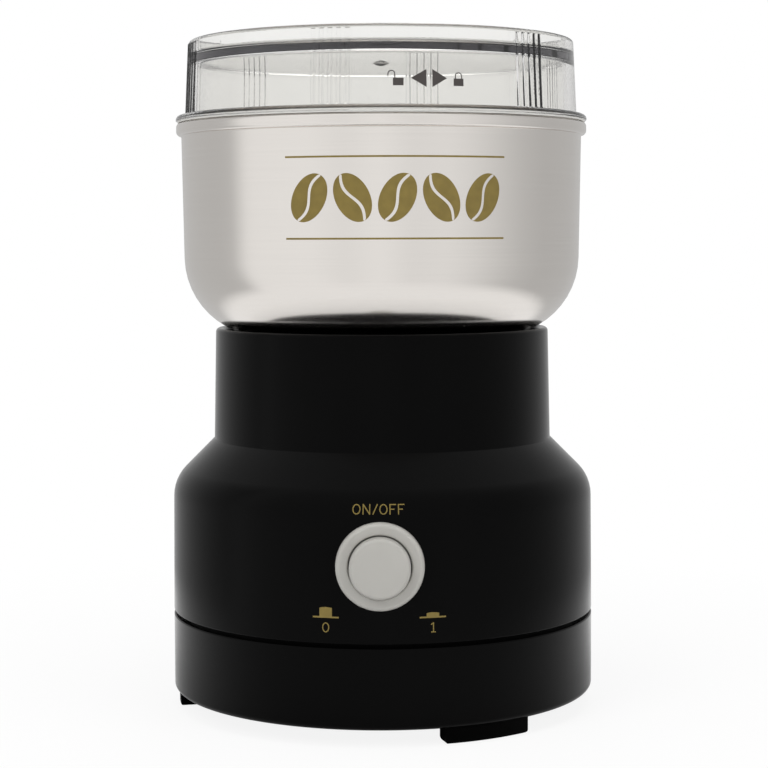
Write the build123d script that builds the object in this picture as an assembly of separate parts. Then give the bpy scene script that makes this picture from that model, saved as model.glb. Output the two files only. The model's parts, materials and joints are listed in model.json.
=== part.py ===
from build123d import *
from math import cos, radians, sin, sqrt, tan
import os

# Electric blade grinder for coffee beans. Millimetres, +Z up, origin on the table under the axis.
# The push button faces -Y and the cord inlet +Y.

# Fits and cutters
overrun = 5.0  # how far a cutter runs past a face
slip = 0.25  # between fixed pieces that slot together
running = 0.05  # shaft in its bearings
clear = 0.4  # between pieces that move past each other

# Feet
foot_count = 3
foot_first_angle = -60.4
foot_span_angle = 25.1
foot_height = 4.0
foot_width = 11.0
foot_inset = 1.2
foot_edge = 0.8
foot_corner_share = 0.42
foot_peg_radius = 2.4
foot_head_radius = 3.4
foot_head_height = 1.6

# Base cover
base_radius = 54.5
base_height = 19.8
base_wall = 2.4
base_floor = 2.4
base_edge = 1.5
seam_gap = 1.0
spigot_wall = 1.8
spigot_height = 3.0
spigot_root = 2.0
vent_count = 12
vent_width = 3.0
vent_inner_radius = 14.0
vent_outer_radius = 28.0
tower_radius = 5.2
tower_gap = 0.85
tower_seat = 6.0

# Base screws
base_screw_count = 3
base_screw_first_angle = 0
base_screw_radius = 1.5
base_screw_head_radius = 3.2
base_screw_head_height = 2.0
base_screw_grip = 12.0

# Cord gland
gland_height = 8.2
gland_reach = 5.0
gland_bore_radius = 3.2
gland_wall = 1.4
gland_flange = 1.6
gland_tip_flange = 0.6
gland_catch = 0.8
gland_inner_length = 2.0
gland_round = 1.0

# Motor housing
belly_draft = 0.3
belly_height = 33.6
shoulder_angle = 45
shoulder_round = 10.3
shoulder_room_share = 0.9  # of the slope, the most its rounding may take up
neck_radius = 43.0
neck_draft = 0.6
neck_height = 28.5
neck_edge_share = 0.42
housing_wall = 2.4
deck_recess = 2.2
deck_thickness = 3.0
column_radius = 4.4
column_height = 22.0
column_rib = 3.0

# Push button and its bezel
button_height = 18.65  # above the bottom of the housing
button_radius = 7.3
button_proud = 3.5
button_travel = 3.0
button_wall = 1.4
button_face = 1.8
button_edge = 0.8
button_lip = 1.1
button_lip_thickness = 1.2
bezel_rim = 1.7
bezel_proud = 1.6
bezel_edge = 0.9
bezel_tube_wall = 1.3
bezel_tube_depth = 5.0
bezel_barb_width = 4.0
bezel_barb_height = 1.0
bezel_barb_length = 1.6

# Switch
switch_width = 16.0
switch_length = 9.0
switch_gap = 0.8
switch_corner = 1.2
switch_ear_width = 8.0
switch_ear_thickness = 2.5
switch_screw_radius = 1.2
switch_screw_head_radius = 2.4
switch_screw_head_height = 1.5
switch_screw_grip = 5.0
switch_post_radius = 3.2
switch_post_gap = 1.45
plunger_radius = 2.8
plunger_entry = 2.5
terminal_width = 4.8
terminal_thickness = 0.8
terminal_length = 6.0
terminal_spread = 4.0
terminal_drop = 5.0
button_spring_radius = 4.2
button_spring_wire = 0.4
button_spring_turns = 5

# Grinding bowl
bowl_sheet = 0.8
bowl_rim_radius = 51.4
bowl_draft = 0.83
bowl_neck_gap = 1.2
bowl_height = 54.55
bead_reach = 1.3
bead_height = 3.3
bead_round_share = 0.85
bead_lip = 2.1

# Bowl clamp
boss_wall = 2.0
boss_stand = 0.7
gasket_radius = 15.0
gasket_thickness = 1.0
clamp_nut_flats = 24.0
clamp_nut_height = 4.0
clamp_nut_edge = 0.8
shaft_seal_step = 0.4
shaft_seal_height = 2.4

# Lid
seal_thickness = 0.45
seal_width = 1.3
flange_reach = 0.1
flange_height = 1.45
flange_round_share = 0.82
lid_step = 0.3
lid_draft = 0.9
lid_height = 20.3  # from the flange's underside to the rim
lid_wall = 2.0
lid_rim_round_share = 0.45
plate_drop = 4.3
plate_thickness = 1.5
plate_round = 1.2
skirt_drop = 7.0
skirt_gap = 0.7
gate_radius = 2.6
gate_depth = 1.0
grip_count = 6
grip_first_angle = -103.2
grip_ribs = 5
grip_pitch_angle = 2.4
grip_rib_radius = 0.7
grip_rib_proud = 0.4
lug_count = 3
lug_first_angle = -30
lug_span_angle = 14
notch_span_angle = 18
notch_slack = 0.35

# Motor frame
damper_radius = 16.0
damper_thickness = 1.5
hub_flange = 6.0
hub_height = 7.0
bar_thickness = 4.0
bar_width = 16.0
leg_thickness = 5.4
upper_leg = 8.5
lower_leg = 20.5
lower_hub_wall = 3.0
lower_hub_drop = 1.0
lower_hub_rise = 1.5
bush_radius = 6.0
bush_recess = 1.5
through_radius = 1.6
through_head_radius = 3.0
through_head_height = 2.2
through_nut_flats = 5.5
through_nut_height = 2.4
mount_screw_radius = 1.4
mount_head_radius = 2.8
mount_head_height = 1.8
mount_boss_radius = 3.4
mount_boss_gap = 0.6  # to the heads of the through screws

# Stator
stack_height = 24.0
stator_width = 56.0
stator_depth = 50.0
stator_corner = 10.0
yoke_width = 6.0
pole_width = 20.0
shoe_thickness = 2.2
shoe_gap = 6.0
air_gap = 0.6
coil_margin = 0.5
coil_end_height = 8.0
coil_end_width = 9.5
coil_end_round = 2.0

# Rotor
shaft_radius = 3.0
shaft_collar_radius = 4.6
shaft_step = 0.5
armature_radius = 16.0
slot_count = 12
slot_width = 3.2
slot_mouth = 1.6
slot_depth = 7.0
slot_tip = 1.2
winding_setback = 1.5
winding_end_height = 6.0
winding_round = 2.5
commutator_radius = 9.5
commutator_length = 9.5
commutator_lead = 0.5
riser_reach = 2.0
riser_height = 1.5
segment_gap = 0.6
segment_depth = 1.0
washer_radius = 5.5
washer_thickness = 0.8
fan_gap = 2.5
fan_radius = 24.0
fan_height = 7.0
fan_disc = 1.6
fan_hub_radius = 7.0
fan_vanes = 9
fan_vane_thickness = 1.4
fan_vane_lean_angle = 25
retainer_radius = 5.0
retainer_thickness = 0.8
shaft_tail = 1.0

# Blade
collar_gap = 0.8
collar_radius = 7.0
collar_height = 3.0
blade_gap = 11.8
blade_width = 11.0
blade_thickness = 1.5
blade_bend_share = 0.53
blade_rise = 5.0
blade_dip = 3.0
blade_nut_flats = 9.0
blade_nut_height = 3.5
blade_nut_dome = 3.0

# Brushes
brush_width = 6.0
brush_height = 6.5
brush_gap = 0.15
holder_gap = 0.7
holder_wall = 1.2
holder_end = 1.3
brush_spring_length = 3.8
brush_spring_radius = 2.2
brush_spring_wire = 0.35
brush_spring_turns = 3

# Leads
lead_radius = 0.9
lead_bend_share = 0.45
lead_drop = 4.5

# Radii and reaches that follow
base_inner_radius = base_radius - base_wall
spigot_radius = base_inner_radius - slip
spigot_inner_radius = spigot_radius - spigot_wall
base_screw_circle = spigot_inner_radius - tower_gap - tower_radius
foot_outer_radius = base_radius - foot_inset
foot_inner_radius = foot_outer_radius - foot_width
foot_middle_radius = foot_outer_radius - foot_width / 2
foot_corner = foot_inner_radius * radians(foot_span_angle) * foot_corner_share
gland_neck_radius = gland_bore_radius + gland_wall
belly_radius = base_radius - belly_draft
crease_radius = neck_radius + neck_draft
neck_inner_radius = neck_radius - housing_wall
neck_edge = housing_wall * neck_edge_share
shoulder_slope = (belly_radius - crease_radius) / cos(radians(shoulder_angle))
shoulder_room = shoulder_slope * shoulder_room_share / tan(radians(45 - shoulder_angle / 2))
shoulder_fillet = min(shoulder_round, shoulder_room)
shoulder_inner_fillet = max(shoulder_fillet - housing_wall, 0)
bowl_floor_radius = bowl_rim_radius - bowl_draft  # where the wall's line meets the floor
bead_radius = bowl_rim_radius + bead_reach
groove_radius = bead_radius - bowl_sheet
lip_radius = bead_radius - bead_lip
flange_radius = bead_radius + flange_reach
skirt_radius = lip_radius - skirt_gap
lug_radius = groove_radius - clear
lid_base_radius = skirt_radius + lid_step
lid_top_radius = lid_base_radius - lid_draft
lid_rim_round = lid_wall * lid_rim_round_share
boss_radius = bush_radius + boss_wall
hub_radius = boss_radius + hub_flange
shaft_seal_radius = bush_radius + shaft_seal_step
shaft_end_radius = shaft_radius - shaft_step
blade_radius = bowl_floor_radius - bowl_sheet - blade_gap
stator_bore = armature_radius + air_gap
shoe_radius = stator_bore + shoe_thickness
window_x = stator_width / 2 - yoke_width
window_y = stator_depth / 2 - yoke_width
through_offset = window_x + yoke_width / 2
leg_inner = through_offset - leg_thickness / 2
mount_offset = through_offset - through_head_radius - mount_boss_gap - mount_boss_radius
winding_radius = armature_radius - winding_setback
coil_clearance_radius = winding_radius + coil_margin * 2
riser_radius = commutator_radius + riser_reach
holder_inner = riser_radius + holder_gap
holder_outer = leg_inner - slip
holder_half_width = brush_width / 2 + slip + holder_wall
channel_end = holder_outer - holder_end
brush_front = commutator_radius + brush_gap
brush_back = channel_end - brush_spring_length
button_wall_radius = base_radius - belly_draft * button_height / belly_height
bezel_front = button_wall_radius + bezel_proud
bezel_tube_end = button_wall_radius - bezel_tube_depth
bezel_tube_radius = button_radius + slip + bezel_tube_wall
bezel_radius = bezel_tube_radius + bezel_rim
button_front = bezel_front + button_proud
button_lip_front = bezel_tube_end - slip
button_back = button_lip_front - button_lip_thickness
switch_front = button_back - button_travel - switch_gap
switch_back = switch_front - switch_length
switch_screw_offset = bezel_tube_radius + switch_post_gap + switch_post_radius
plunger_end = switch_front - plunger_entry

# Corner of the bowl that clears the rim of the neck's recess by its gap
bowl_overhang = bowl_floor_radius - neck_inner_radius + bowl_neck_gap
bowl_corner = bowl_overhang + deck_recess + sqrt(bowl_overhang * deck_recess * 2)

# Heights, from the table up
base_top = foot_height + base_height
floor_top = foot_height + base_floor
ledge_bottom = base_top - spigot_root - (base_inner_radius - spigot_inner_radius)
screw_seat = foot_height + tower_seat
gland_z = foot_height + gland_height
housing_bottom = base_top + seam_gap
button_z = housing_bottom + button_height
shoulder_z = housing_bottom + belly_height
shoulder_height = (belly_radius - crease_radius) * tan(radians(shoulder_angle))
crease_z = shoulder_z + shoulder_height
housing_top = crease_z + neck_height
deck_top = housing_top - deck_recess
deck_bottom = deck_top - deck_thickness
bowl_floor_top = deck_top + bowl_sheet
rim_top = deck_top + bowl_height
bead_bottom = rim_top - bead_height
flange_bottom = rim_top + seal_thickness
flange_top = flange_bottom + flange_height
lid_top = flange_bottom + lid_height
plate_top = lid_top - plate_drop
plate_bottom = plate_top - plate_thickness
skirt_bottom = flange_bottom - skirt_drop
lug_top = rim_top - bowl_sheet - clear
lug_bottom = bead_bottom + bowl_sheet + clear

# Heights of the motor, from the deck down
damper_bottom = deck_bottom - damper_thickness
hub_bottom = damper_bottom - hub_height
upper_bar_top = hub_bottom + bar_thickness
stator_top = hub_bottom - upper_leg
stator_bottom = stator_top - stack_height
lower_bar_top = stator_bottom - lower_leg
lower_bar_bottom = lower_bar_top - bar_thickness
lower_hub_top = lower_bar_top + lower_hub_rise
lower_hub_bottom = lower_bar_bottom - lower_hub_drop
winding_top = stator_top + winding_end_height
winding_bottom = stator_bottom - winding_end_height
commutator_top = winding_bottom - commutator_lead
commutator_bottom = commutator_top - commutator_length
brush_z = commutator_bottom + (commutator_length - riser_height) / 2
fan_top = lower_hub_bottom - fan_gap
fan_bottom = fan_top - fan_height
shaft_bottom = fan_bottom - retainer_thickness - shaft_tail

# Heights of the clamp and the blade, from the bowl's floor up
gasket_top = bowl_floor_top + gasket_thickness
clamp_nut_top = gasket_top + clamp_nut_height
boss_top = clamp_nut_top + boss_stand
seal_seat = boss_top - shaft_seal_height
bush_bottom = hub_bottom + bush_recess
shaft_shoulder = boss_top + collar_gap
blade_bottom = shaft_shoulder + collar_height
blade_top = blade_bottom + blade_thickness
blade_nut_top = blade_top + blade_nut_height
shaft_top = blade_nut_top
holder_top = brush_z + brush_height / 2 + slip + holder_wall
coil_bottom = stator_bottom - coil_end_height

UP = (Align.CENTER, Align.CENTER, Align.MIN)


def around(count, first_angle):
    return [first_angle + step * 360 / count for step in range(count)]


def polar(radius, angle):
    return radius * cos(radians(angle)), radius * sin(radians(angle))


def turned(*corners):
    """Solid turned about Z from corners of radius, height and rounding."""
    points = [(radius, 0, height) for radius, height, rounding in corners]
    roundings = [rounding for radius, height, rounding in corners]
    outline = FilletPolyline(*points, radius=roundings, close=True)
    return revolve(make_face(outline), Axis.Z)


def ring(inner, outer, bottom, top):
    return disc(outer, bottom, top) - disc(inner, bottom - overrun, top + overrun)


def disc(radius, bottom, top):
    return Pos(0, 0, bottom) * Cylinder(radius, top - bottom, align=UP)


def block(low, high):
    size = [b - a for a, b in zip(low, high)]
    middle = [(a + b) / 2 for a, b in zip(low, high)]
    return Pos(*middle) * Box(*size)


def hexagon(flats, bottom, top):
    outline = RegularPolygon(flats / 2, 6, major_radius=False)
    return Pos(0, 0, bottom) * extrude(outline, top - bottom)


def sector(inner, outer, bottom, top, span_angle, middle_angle):
    outline = Polyline((inner, 0, bottom), (outer, 0, bottom), (outer, 0, top), (inner, 0, top), close=True)
    body = revolve(make_face(outline), Axis.Z, span_angle)
    return Rot(0, 0, middle_angle - span_angle / 2) * body


def facing_front(shape, height):
    """Turn a shape made along +Z to point out of the front, at a height."""
    return Pos(0, 0, height) * Rot(90, 0, 0) * shape


def facing_rear(shape, height):
    return Pos(0, 0, height) * Rot(-90, 0, 0) * shape


def wound(radius, wire, bottom, top, turns):
    """Open coil spring along Z between two heights, its wire inside them."""
    rise = top - bottom - wire * 2
    path = Helix(pitch=rise / turns, height=rise, radius=radius, center=(0, 0, bottom + wire))
    return sweep(Plane(origin=path @ 0, z_dir=path % 0) * Circle(wire), path, is_frenet=True)


def screw(radius, length, head_radius, head_height):
    """Screw pointing up, its head's seat at zero."""
    head = Pos(0, 0, -head_height) * Cylinder(head_radius, head_height, align=UP)
    cross = Pos(0, 0, -head_height) * Box(head_radius, radius / 2, head_height)
    cross += Pos(0, 0, -head_height) * Box(radius / 2, head_radius, head_height)
    return Cylinder(radius, length, align=UP) + head - cross


def lead(*points):
    """Insulated wire through the points, each bend as wide as its runs allow."""
    runs = [Vector(b) - Vector(a) for a, b in zip(points, points[1:])]
    bends = []
    for before, after in zip(runs, runs[1:]):
        shorter = min(before.length, after.length)
        bends.append(lead_bend_share * shorter / tan(radians(before.get_angle(after) / 2)))
    path = FilletPolyline(*points, radius=bends)
    return sweep(Plane(origin=path @ 0, z_dir=path % 0) * Circle(lead_radius), path)


# Feet and base

def foot(angle):
    pad = sector(foot_inner_radius, foot_outer_radius, 0, foot_height, foot_span_angle, angle)
    inner_corners = pad.edges().filter_by(Axis.Z).sort_by_distance((0, 0, foot_height / 2))[:2]
    pad = fillet(inner_corners, foot_corner)
    pad = fillet(pad.edges().group_by(Axis.Z)[0], foot_edge)
    peg = disc(foot_peg_radius, foot_height, floor_top)
    peg += disc(foot_head_radius, floor_top, floor_top + foot_head_height)
    return pad + Pos(*polar(foot_middle_radius, angle)) * peg


def base_cover():
    shell = turned(
        (0, foot_height, 0),
        (base_radius, foot_height, base_edge),
        (base_radius, base_top, 0),
        (spigot_radius, base_top, 0),
        (spigot_radius, base_top + spigot_height, 0),
        (spigot_inner_radius, base_top + spigot_height, 0),
        (spigot_inner_radius, base_top - spigot_root, 0),
        (base_inner_radius, ledge_bottom, 0),
        (base_inner_radius, floor_top, 0),
        (0, floor_top, 0),
    )
    vent_middle = (vent_inner_radius + vent_outer_radius) / 2
    vent = extrude(SlotCenterToCenter(vent_outer_radius - vent_inner_radius, vent_width), floor_top + overrun)
    for angle in around(vent_count, 0):
        shell -= Rot(0, 0, angle) * Pos(vent_middle, 0, 0) * vent
    for angle in around(foot_count, foot_first_angle):
        x, y = polar(foot_middle_radius, angle)
        shell -= Pos(x, y, 0) * disc(foot_peg_radius, 0, floor_top + overrun)
    for angle in around(base_screw_count, base_screw_first_angle):
        x, y = polar(base_screw_circle, angle)
        shell += Pos(x, y, 0) * disc(tower_radius, foot_height + base_floor / 2, housing_bottom)
        shell -= Pos(x, y, 0) * disc(base_screw_radius + slip, 0, housing_bottom + overrun)
        shell -= Pos(x, y, 0) * disc(base_screw_head_radius + slip, 0, screw_seat)
    shell -= disc(retainer_radius + clear, shaft_bottom - clear, shaft_top)
    inlet = Cylinder(gland_neck_radius, base_radius + overrun, align=UP)
    return shell - facing_rear(inlet, gland_z)


def base_screws():
    length = housing_bottom - screw_seat + base_screw_grip
    one = screw(base_screw_radius, length, base_screw_head_radius, base_screw_head_height)
    spots = [polar(base_screw_circle, angle) for angle in around(base_screw_count, base_screw_first_angle)]
    return Part() + [Pos(x, y, screw_seat) * one for x, y in spots]


def cord_gland():
    outer_end = base_radius + gland_reach
    inner_end = base_inner_radius - gland_inner_length
    collar_radius = gland_neck_radius + gland_flange
    collar = turned(
        (0, inner_end, 0),
        (collar_radius, inner_end, 0),
        (collar_radius, base_radius, 0),
        (gland_neck_radius + gland_tip_flange, outer_end, gland_round),
        (0, outer_end, 0),
    )
    collar = facing_rear(collar, gland_z) - disc(base_radius, 0, base_top)
    neck = facing_rear(disc(gland_neck_radius, inner_end, outer_end - gland_round), gland_z)
    inner = facing_rear(disc(gland_neck_radius + gland_catch, inner_end, base_radius), gland_z)
    inner &= disc(base_inner_radius, floor_top, ledge_bottom)
    bore = facing_rear(disc(gland_bore_radius, 0, outer_end + overrun), gland_z)
    return collar + neck + inner - bore


# Motor housing

def housing_outline():
    """Outer corners of the housing, from its bottom edge to its top edge."""
    return [
        (base_radius, housing_bottom, 0),
        (belly_radius, shoulder_z, shoulder_fillet),
        (crease_radius, crease_z, 0),
        (neck_radius, housing_top, neck_edge),
    ]


def housing_core():
    """The housing's outer form as one full solid, to trim what sits on its skin."""
    return turned((0, housing_bottom, 0), *housing_outline(), (0, housing_top, 0))


def switch_posts():
    """Two posts from the wall to the switch's ears, one each side of the button."""
    post = disc(switch_post_radius, switch_front, base_radius)
    inside = disc(belly_radius - housing_wall / 2, housing_bottom, shoulder_z)
    return [post & inside for post in beside_button(post)]


def beside_button(shape):
    """Copies of a shape made along +Z, pointing out at the two fixing points of the switch."""
    return [facing_front(Pos(side * switch_screw_offset, 0, 0) * shape, button_z) for side in (-1, 1)]


def motor_housing():
    drop = housing_wall * tan(radians(shoulder_angle / 2))
    shell = turned(
        *housing_outline(),
        (neck_inner_radius, housing_top, neck_edge),
        (neck_inner_radius, deck_top, 0),
        (boss_radius + slip, deck_top, 0),
        (boss_radius + slip, deck_bottom, 0),
        (neck_inner_radius, deck_bottom, 0),
        (crease_radius - housing_wall, crease_z - drop, 0),
        (belly_radius - housing_wall, shoulder_z - drop, shoulder_inner_fillet),
        (base_radius - housing_wall, housing_bottom, 0),
    )
    shell -= facing_front(Cylinder(bezel_tube_radius + slip, base_radius + overrun, align=UP), button_z)
    rib_bottom = base_top + spigot_height + clear
    column_top = housing_bottom + column_height
    for angle in around(base_screw_count, base_screw_first_angle):
        x, y = polar(base_screw_circle, angle)
        shell += Pos(x, y, 0) * disc(column_radius, housing_bottom, column_top)
        rib = block(
            (base_screw_circle, -column_rib / 2, rib_bottom),
            (belly_radius - housing_wall / 2, column_rib / 2, column_top),
        )
        shell += Rot(0, 0, angle) * rib
        shell -= Pos(x, y, 0) * disc(base_screw_radius, 0, housing_bottom + base_screw_grip + clear)
    ear_back = switch_front - switch_ear_thickness - switch_screw_head_height
    shell -= facing_front(switch_ears(ear_back - slip, slip), button_z)
    for side in (-1, 1):
        boss = disc(mount_boss_radius, upper_bar_top, deck_bottom)
        pilot = disc(mount_screw_radius, upper_bar_top, deck_bottom)
        shell += Pos(side * mount_offset, 0, 0) * boss
        shell -= Pos(side * mount_offset, 0, 0) * pilot
    pilot = disc(switch_screw_radius, switch_front, switch_front + switch_screw_grip)
    return shell + switch_posts() - beside_button(pilot)


# Button and switch

def button_bezel():
    inner = button_radius + slip
    flange = turned(
        (0, bezel_tube_end, 0),
        (bezel_radius, bezel_tube_end, 0),
        (bezel_radius, bezel_front, bezel_edge),
        (0, bezel_front, 0),
    )
    body = facing_front(flange, button_z) - housing_core()
    body += facing_front(disc(bezel_tube_radius, bezel_tube_end, button_wall_radius), button_z)
    barb_front = button_wall_radius - housing_wall - slip
    for side in (-1, 1):
        height = button_z + side * bezel_tube_radius
        body += block(
            (-bezel_barb_width / 2, -barb_front, height - bezel_barb_height),
            (bezel_barb_width / 2, bezel_barb_length - barb_front, height + bezel_barb_height),
        )
    return body - facing_front(disc(inner, 0, bezel_front + overrun), button_z)


def button_cap():
    back_radius = button_radius + button_lip
    shell = turned(
        (0, button_front, 0),
        (button_radius, button_front, button_edge),
        (button_radius, button_lip_front, 0),
        (back_radius, button_lip_front, 0),
        (back_radius, button_back, 0),
        (button_radius - button_wall, button_back, 0),
        (button_radius - button_wall, button_front - button_face, 0),
        (0, button_front - button_face, 0),
    )
    return facing_front(shell, button_z)


def switch_plunger():
    return facing_front(disc(plunger_radius, plunger_end, button_front - button_face), button_z)


def button_spring():
    top = button_front - button_face
    coil = wound(button_spring_radius, button_spring_wire, switch_front, top, button_spring_turns)
    return facing_front(coil, button_z)


def switch_ears(back, gap):
    """The switch's fixing ears, or with a gap the room that they need."""
    half_length = switch_screw_offset + switch_post_radius + gap
    half_width = switch_ear_width / 2 + gap
    return block((-half_length, -half_width, back), (half_length, half_width, switch_front))


def switch_body():
    half = switch_width / 2
    case = block((-half, -half, switch_back), (half, half, switch_front))
    case = fillet(case.edges().filter_by(Axis.Z), switch_corner)
    case += switch_ears(switch_front - switch_ear_thickness, 0)
    well = plunger_end - button_travel - clear
    case -= disc(plunger_radius + slip, well, switch_front + overrun)
    for side in (-1, 1):
        hole = disc(switch_screw_radius, switch_back, switch_front + overrun)
        case -= Pos(side * switch_screw_offset, 0, 0) * hole
    return facing_front(case, button_z)


def switch_terminals():
    blade = block(
        (-terminal_thickness / 2, -terminal_width / 2, switch_back - terminal_length),
        (terminal_thickness / 2, terminal_width / 2, switch_back),
    )
    pair = [Pos(side * terminal_spread, -terminal_drop, 0) * blade for side in (-1, 1)]
    return Part() + [facing_front(each, button_z) for each in pair]


def switch_screws():
    length = switch_ear_thickness + switch_screw_grip
    one = screw(switch_screw_radius, length, switch_screw_head_radius, switch_screw_head_height)
    return Part() + beside_button(Pos(0, 0, switch_front - switch_ear_thickness) * one)


# Bowl and its clamp

def grinding_bowl():
    hole = boss_radius + slip
    bead_round = bead_reach * bead_round_share
    lip_bottom = rim_top - bowl_sheet
    groove_bottom = bead_bottom + bowl_sheet
    shell = turned(
        (hole, deck_top, 0),
        (bowl_floor_radius, deck_top, bowl_corner),
        (bowl_rim_radius, bead_bottom, 0),
        (bead_radius, bead_bottom, bead_round),
        (bead_radius, rim_top, bead_round),
        (lip_radius, rim_top, 0),
        (lip_radius, lip_bottom, 0),
        (groove_radius, lip_bottom, 0),
        (groove_radius, groove_bottom, 0),
        (bowl_rim_radius - bowl_sheet, groove_bottom, 0),
        (bowl_floor_radius - bowl_sheet, bowl_floor_top, bowl_corner - bowl_sheet),
        (hole, bowl_floor_top, 0),
    )
    reach = lug_radius + notch_slack
    for angle in around(lug_count, lug_first_angle):
        shell -= sector(skirt_radius, reach, lip_bottom, rim_top + overrun, notch_span_angle, angle)
    return shell


def bowl_gasket():
    return ring(boss_radius, gasket_radius, bowl_floor_top, gasket_top)


def bowl_clamp_nut():
    body = hexagon(clamp_nut_flats, gasket_top, clamp_nut_top)
    body -= disc(boss_radius, gasket_top - overrun, clamp_nut_top + overrun)
    rim = body.edges().filter_by(GeomType.LINE).group_by(Axis.Z)[-1]
    return chamfer(rim, clamp_nut_edge)


def shaft_seal():
    return ring(shaft_radius + running, shaft_seal_radius, seal_seat, boss_top)


# Lid

def lid_seal():
    middle = bead_radius - bead_lip / 2
    return ring(middle - seal_width / 2, middle + seal_width / 2, rim_top, flange_bottom)


def grip_rib():
    """One upright rib on the wall, leaning with it."""
    lean = lid_base_radius - lid_top_radius
    run = lid_top - flange_top
    height = run - lid_rim_round
    middle = (lid_base_radius + lid_top_radius) / 2 - grip_rib_radius + grip_rib_proud
    slope = Vector(-lean, 0, run)
    place = Plane(origin=(middle, 0, (flange_top + lid_top - lid_rim_round) / 2), z_dir=slope)
    return place * Cylinder(grip_rib_radius, height)


def lid_cover():
    wall_inner_top = lid_top_radius - lid_wall
    skirt_inner = skirt_radius - lid_wall
    shell = turned(
        (0, plate_bottom, 0),
        (wall_inner_top, plate_bottom, plate_round),
        (skirt_inner, skirt_bottom, 0),
        (skirt_radius, skirt_bottom, 0),
        (skirt_radius, flange_bottom, 0),
        (flange_radius, flange_bottom, 0),
        (flange_radius, flange_top, flange_height * flange_round_share),
        (lid_base_radius, flange_top, 0),
        (lid_top_radius, lid_top, lid_rim_round),
        (wall_inner_top, lid_top, lid_rim_round),
        (wall_inner_top, plate_top, plate_round),
        (0, plate_top, 0),
    )
    gate_sphere = (gate_radius ** 2 + gate_depth ** 2) / (gate_depth * 2)
    gate = Pos(0, 0, plate_bottom - gate_depth + gate_sphere) * Sphere(gate_sphere)
    shell += gate & disc(gate_radius, plate_bottom - gate_depth, plate_bottom + plate_thickness / 2)
    rib = grip_rib()
    first = -grip_pitch_angle * (grip_ribs - 1) / 2
    offsets = [first + step * grip_pitch_angle for step in range(grip_ribs)]
    angles = [group + offset for group in around(grip_count, grip_first_angle) for offset in offsets]
    shell += [Rot(0, 0, angle) * rib for angle in angles]
    for angle in around(lug_count, lug_first_angle):
        inner = skirt_radius - lid_wall / 2
        shell += sector(inner, lug_radius, lug_bottom, lug_top, lug_span_angle, angle)
    return shell


# Motor frame

def mount_rooms():
    """Room for the two mount bosses, from the bracket's bar up."""
    room = disc(mount_boss_radius + slip, upper_bar_top, deck_bottom)
    return [Pos(side * mount_offset, 0, 0) * room for side in (-1, 1)]


def motor_damper():
    body = ring(boss_radius, damper_radius, damper_bottom, deck_bottom)
    for room in mount_rooms():
        body -= room
    return body


def upper_motor_bracket():
    half_length = through_offset + leg_thickness / 2
    body = disc(hub_radius, hub_bottom, damper_bottom)
    for room in mount_rooms():
        body -= room
    body += disc(boss_radius, damper_bottom, boss_top)
    body += block((-half_length, -bar_width / 2, hub_bottom), (half_length, bar_width / 2, upper_bar_top))
    for side in (-1, 1):
        leg = block(
            (-leg_thickness / 2, -bar_width / 2, stator_top),
            (leg_thickness / 2, bar_width / 2, upper_bar_top),
        )
        body += Pos(side * through_offset, 0, 0) * leg
        body -= Pos(side * through_offset, 0, 0) * disc(through_radius, stator_bottom, damper_bottom)
        body -= Pos(side * mount_offset, 0, 0) * disc(mount_screw_radius, stator_top, damper_bottom)
    body -= disc(bush_radius, stator_top, seal_seat)
    return body - disc(shaft_seal_radius, seal_seat, boss_top + overrun)


def lower_motor_bracket():
    half_length = through_offset + leg_thickness / 2
    half_width = bar_width / 2
    body = block((-half_length, -half_width, lower_bar_bottom), (half_length, half_width, lower_bar_top))
    body += disc(bush_radius + lower_hub_wall, lower_hub_bottom, lower_hub_top)
    for side in (-1, 1):
        leg = block(
            (-leg_thickness / 2, -bar_width / 2, lower_bar_bottom),
            (leg_thickness / 2, bar_width / 2, stator_bottom),
        )
        body += Pos(side * through_offset, 0, 0) * leg
        body -= Pos(side * through_offset, 0, 0) * disc(through_radius, fan_bottom, stator_top)
    return body - disc(bush_radius, fan_bottom, stator_bottom)


def upper_bearing():
    return ring(shaft_radius + running, bush_radius, bush_bottom, seal_seat)


def lower_bearing():
    return ring(shaft_radius + running, bush_radius, lower_hub_bottom, lower_hub_top)


def motor_screws():
    length = upper_bar_top - lower_bar_bottom + through_nut_height
    one = Rot(180, 0, 0) * screw(through_radius, length, through_head_radius, through_head_height)
    return Part() + [Pos(side * through_offset, 0, upper_bar_top) * one for side in (-1, 1)]


def motor_nuts():
    one = hexagon(through_nut_flats, lower_bar_bottom - through_nut_height, lower_bar_bottom)
    one -= disc(through_radius, fan_bottom, lower_bar_top)
    return Part() + [Pos(side * through_offset, 0, 0) * one for side in (-1, 1)]


def motor_mount_screws():
    length = deck_bottom - hub_bottom
    one = screw(mount_screw_radius, length, mount_head_radius, mount_head_height)
    return Part() + [Pos(side * mount_offset, 0, hub_bottom) * one for side in (-1, 1)]


# Stator

def stator_core():
    outline = RectangleRounded(stator_width, stator_depth, stator_corner)
    window = Rectangle(window_x * 2, window_y * 2) - Rectangle(pole_width, window_y * 2)
    shoes = Circle(shoe_radius) - Rectangle(shoe_radius * 2, shoe_gap)
    window = window - shoes + Circle(stator_bore)
    for side in (-1, 1):
        window += Pos(side * window_x / 2, 0) * Rectangle(window_x, shoe_gap)
        outline -= Pos(side * through_offset, 0) * Circle(through_radius)
    return Pos(0, 0, stator_bottom) * extrude(outline - window, stack_height)


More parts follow.
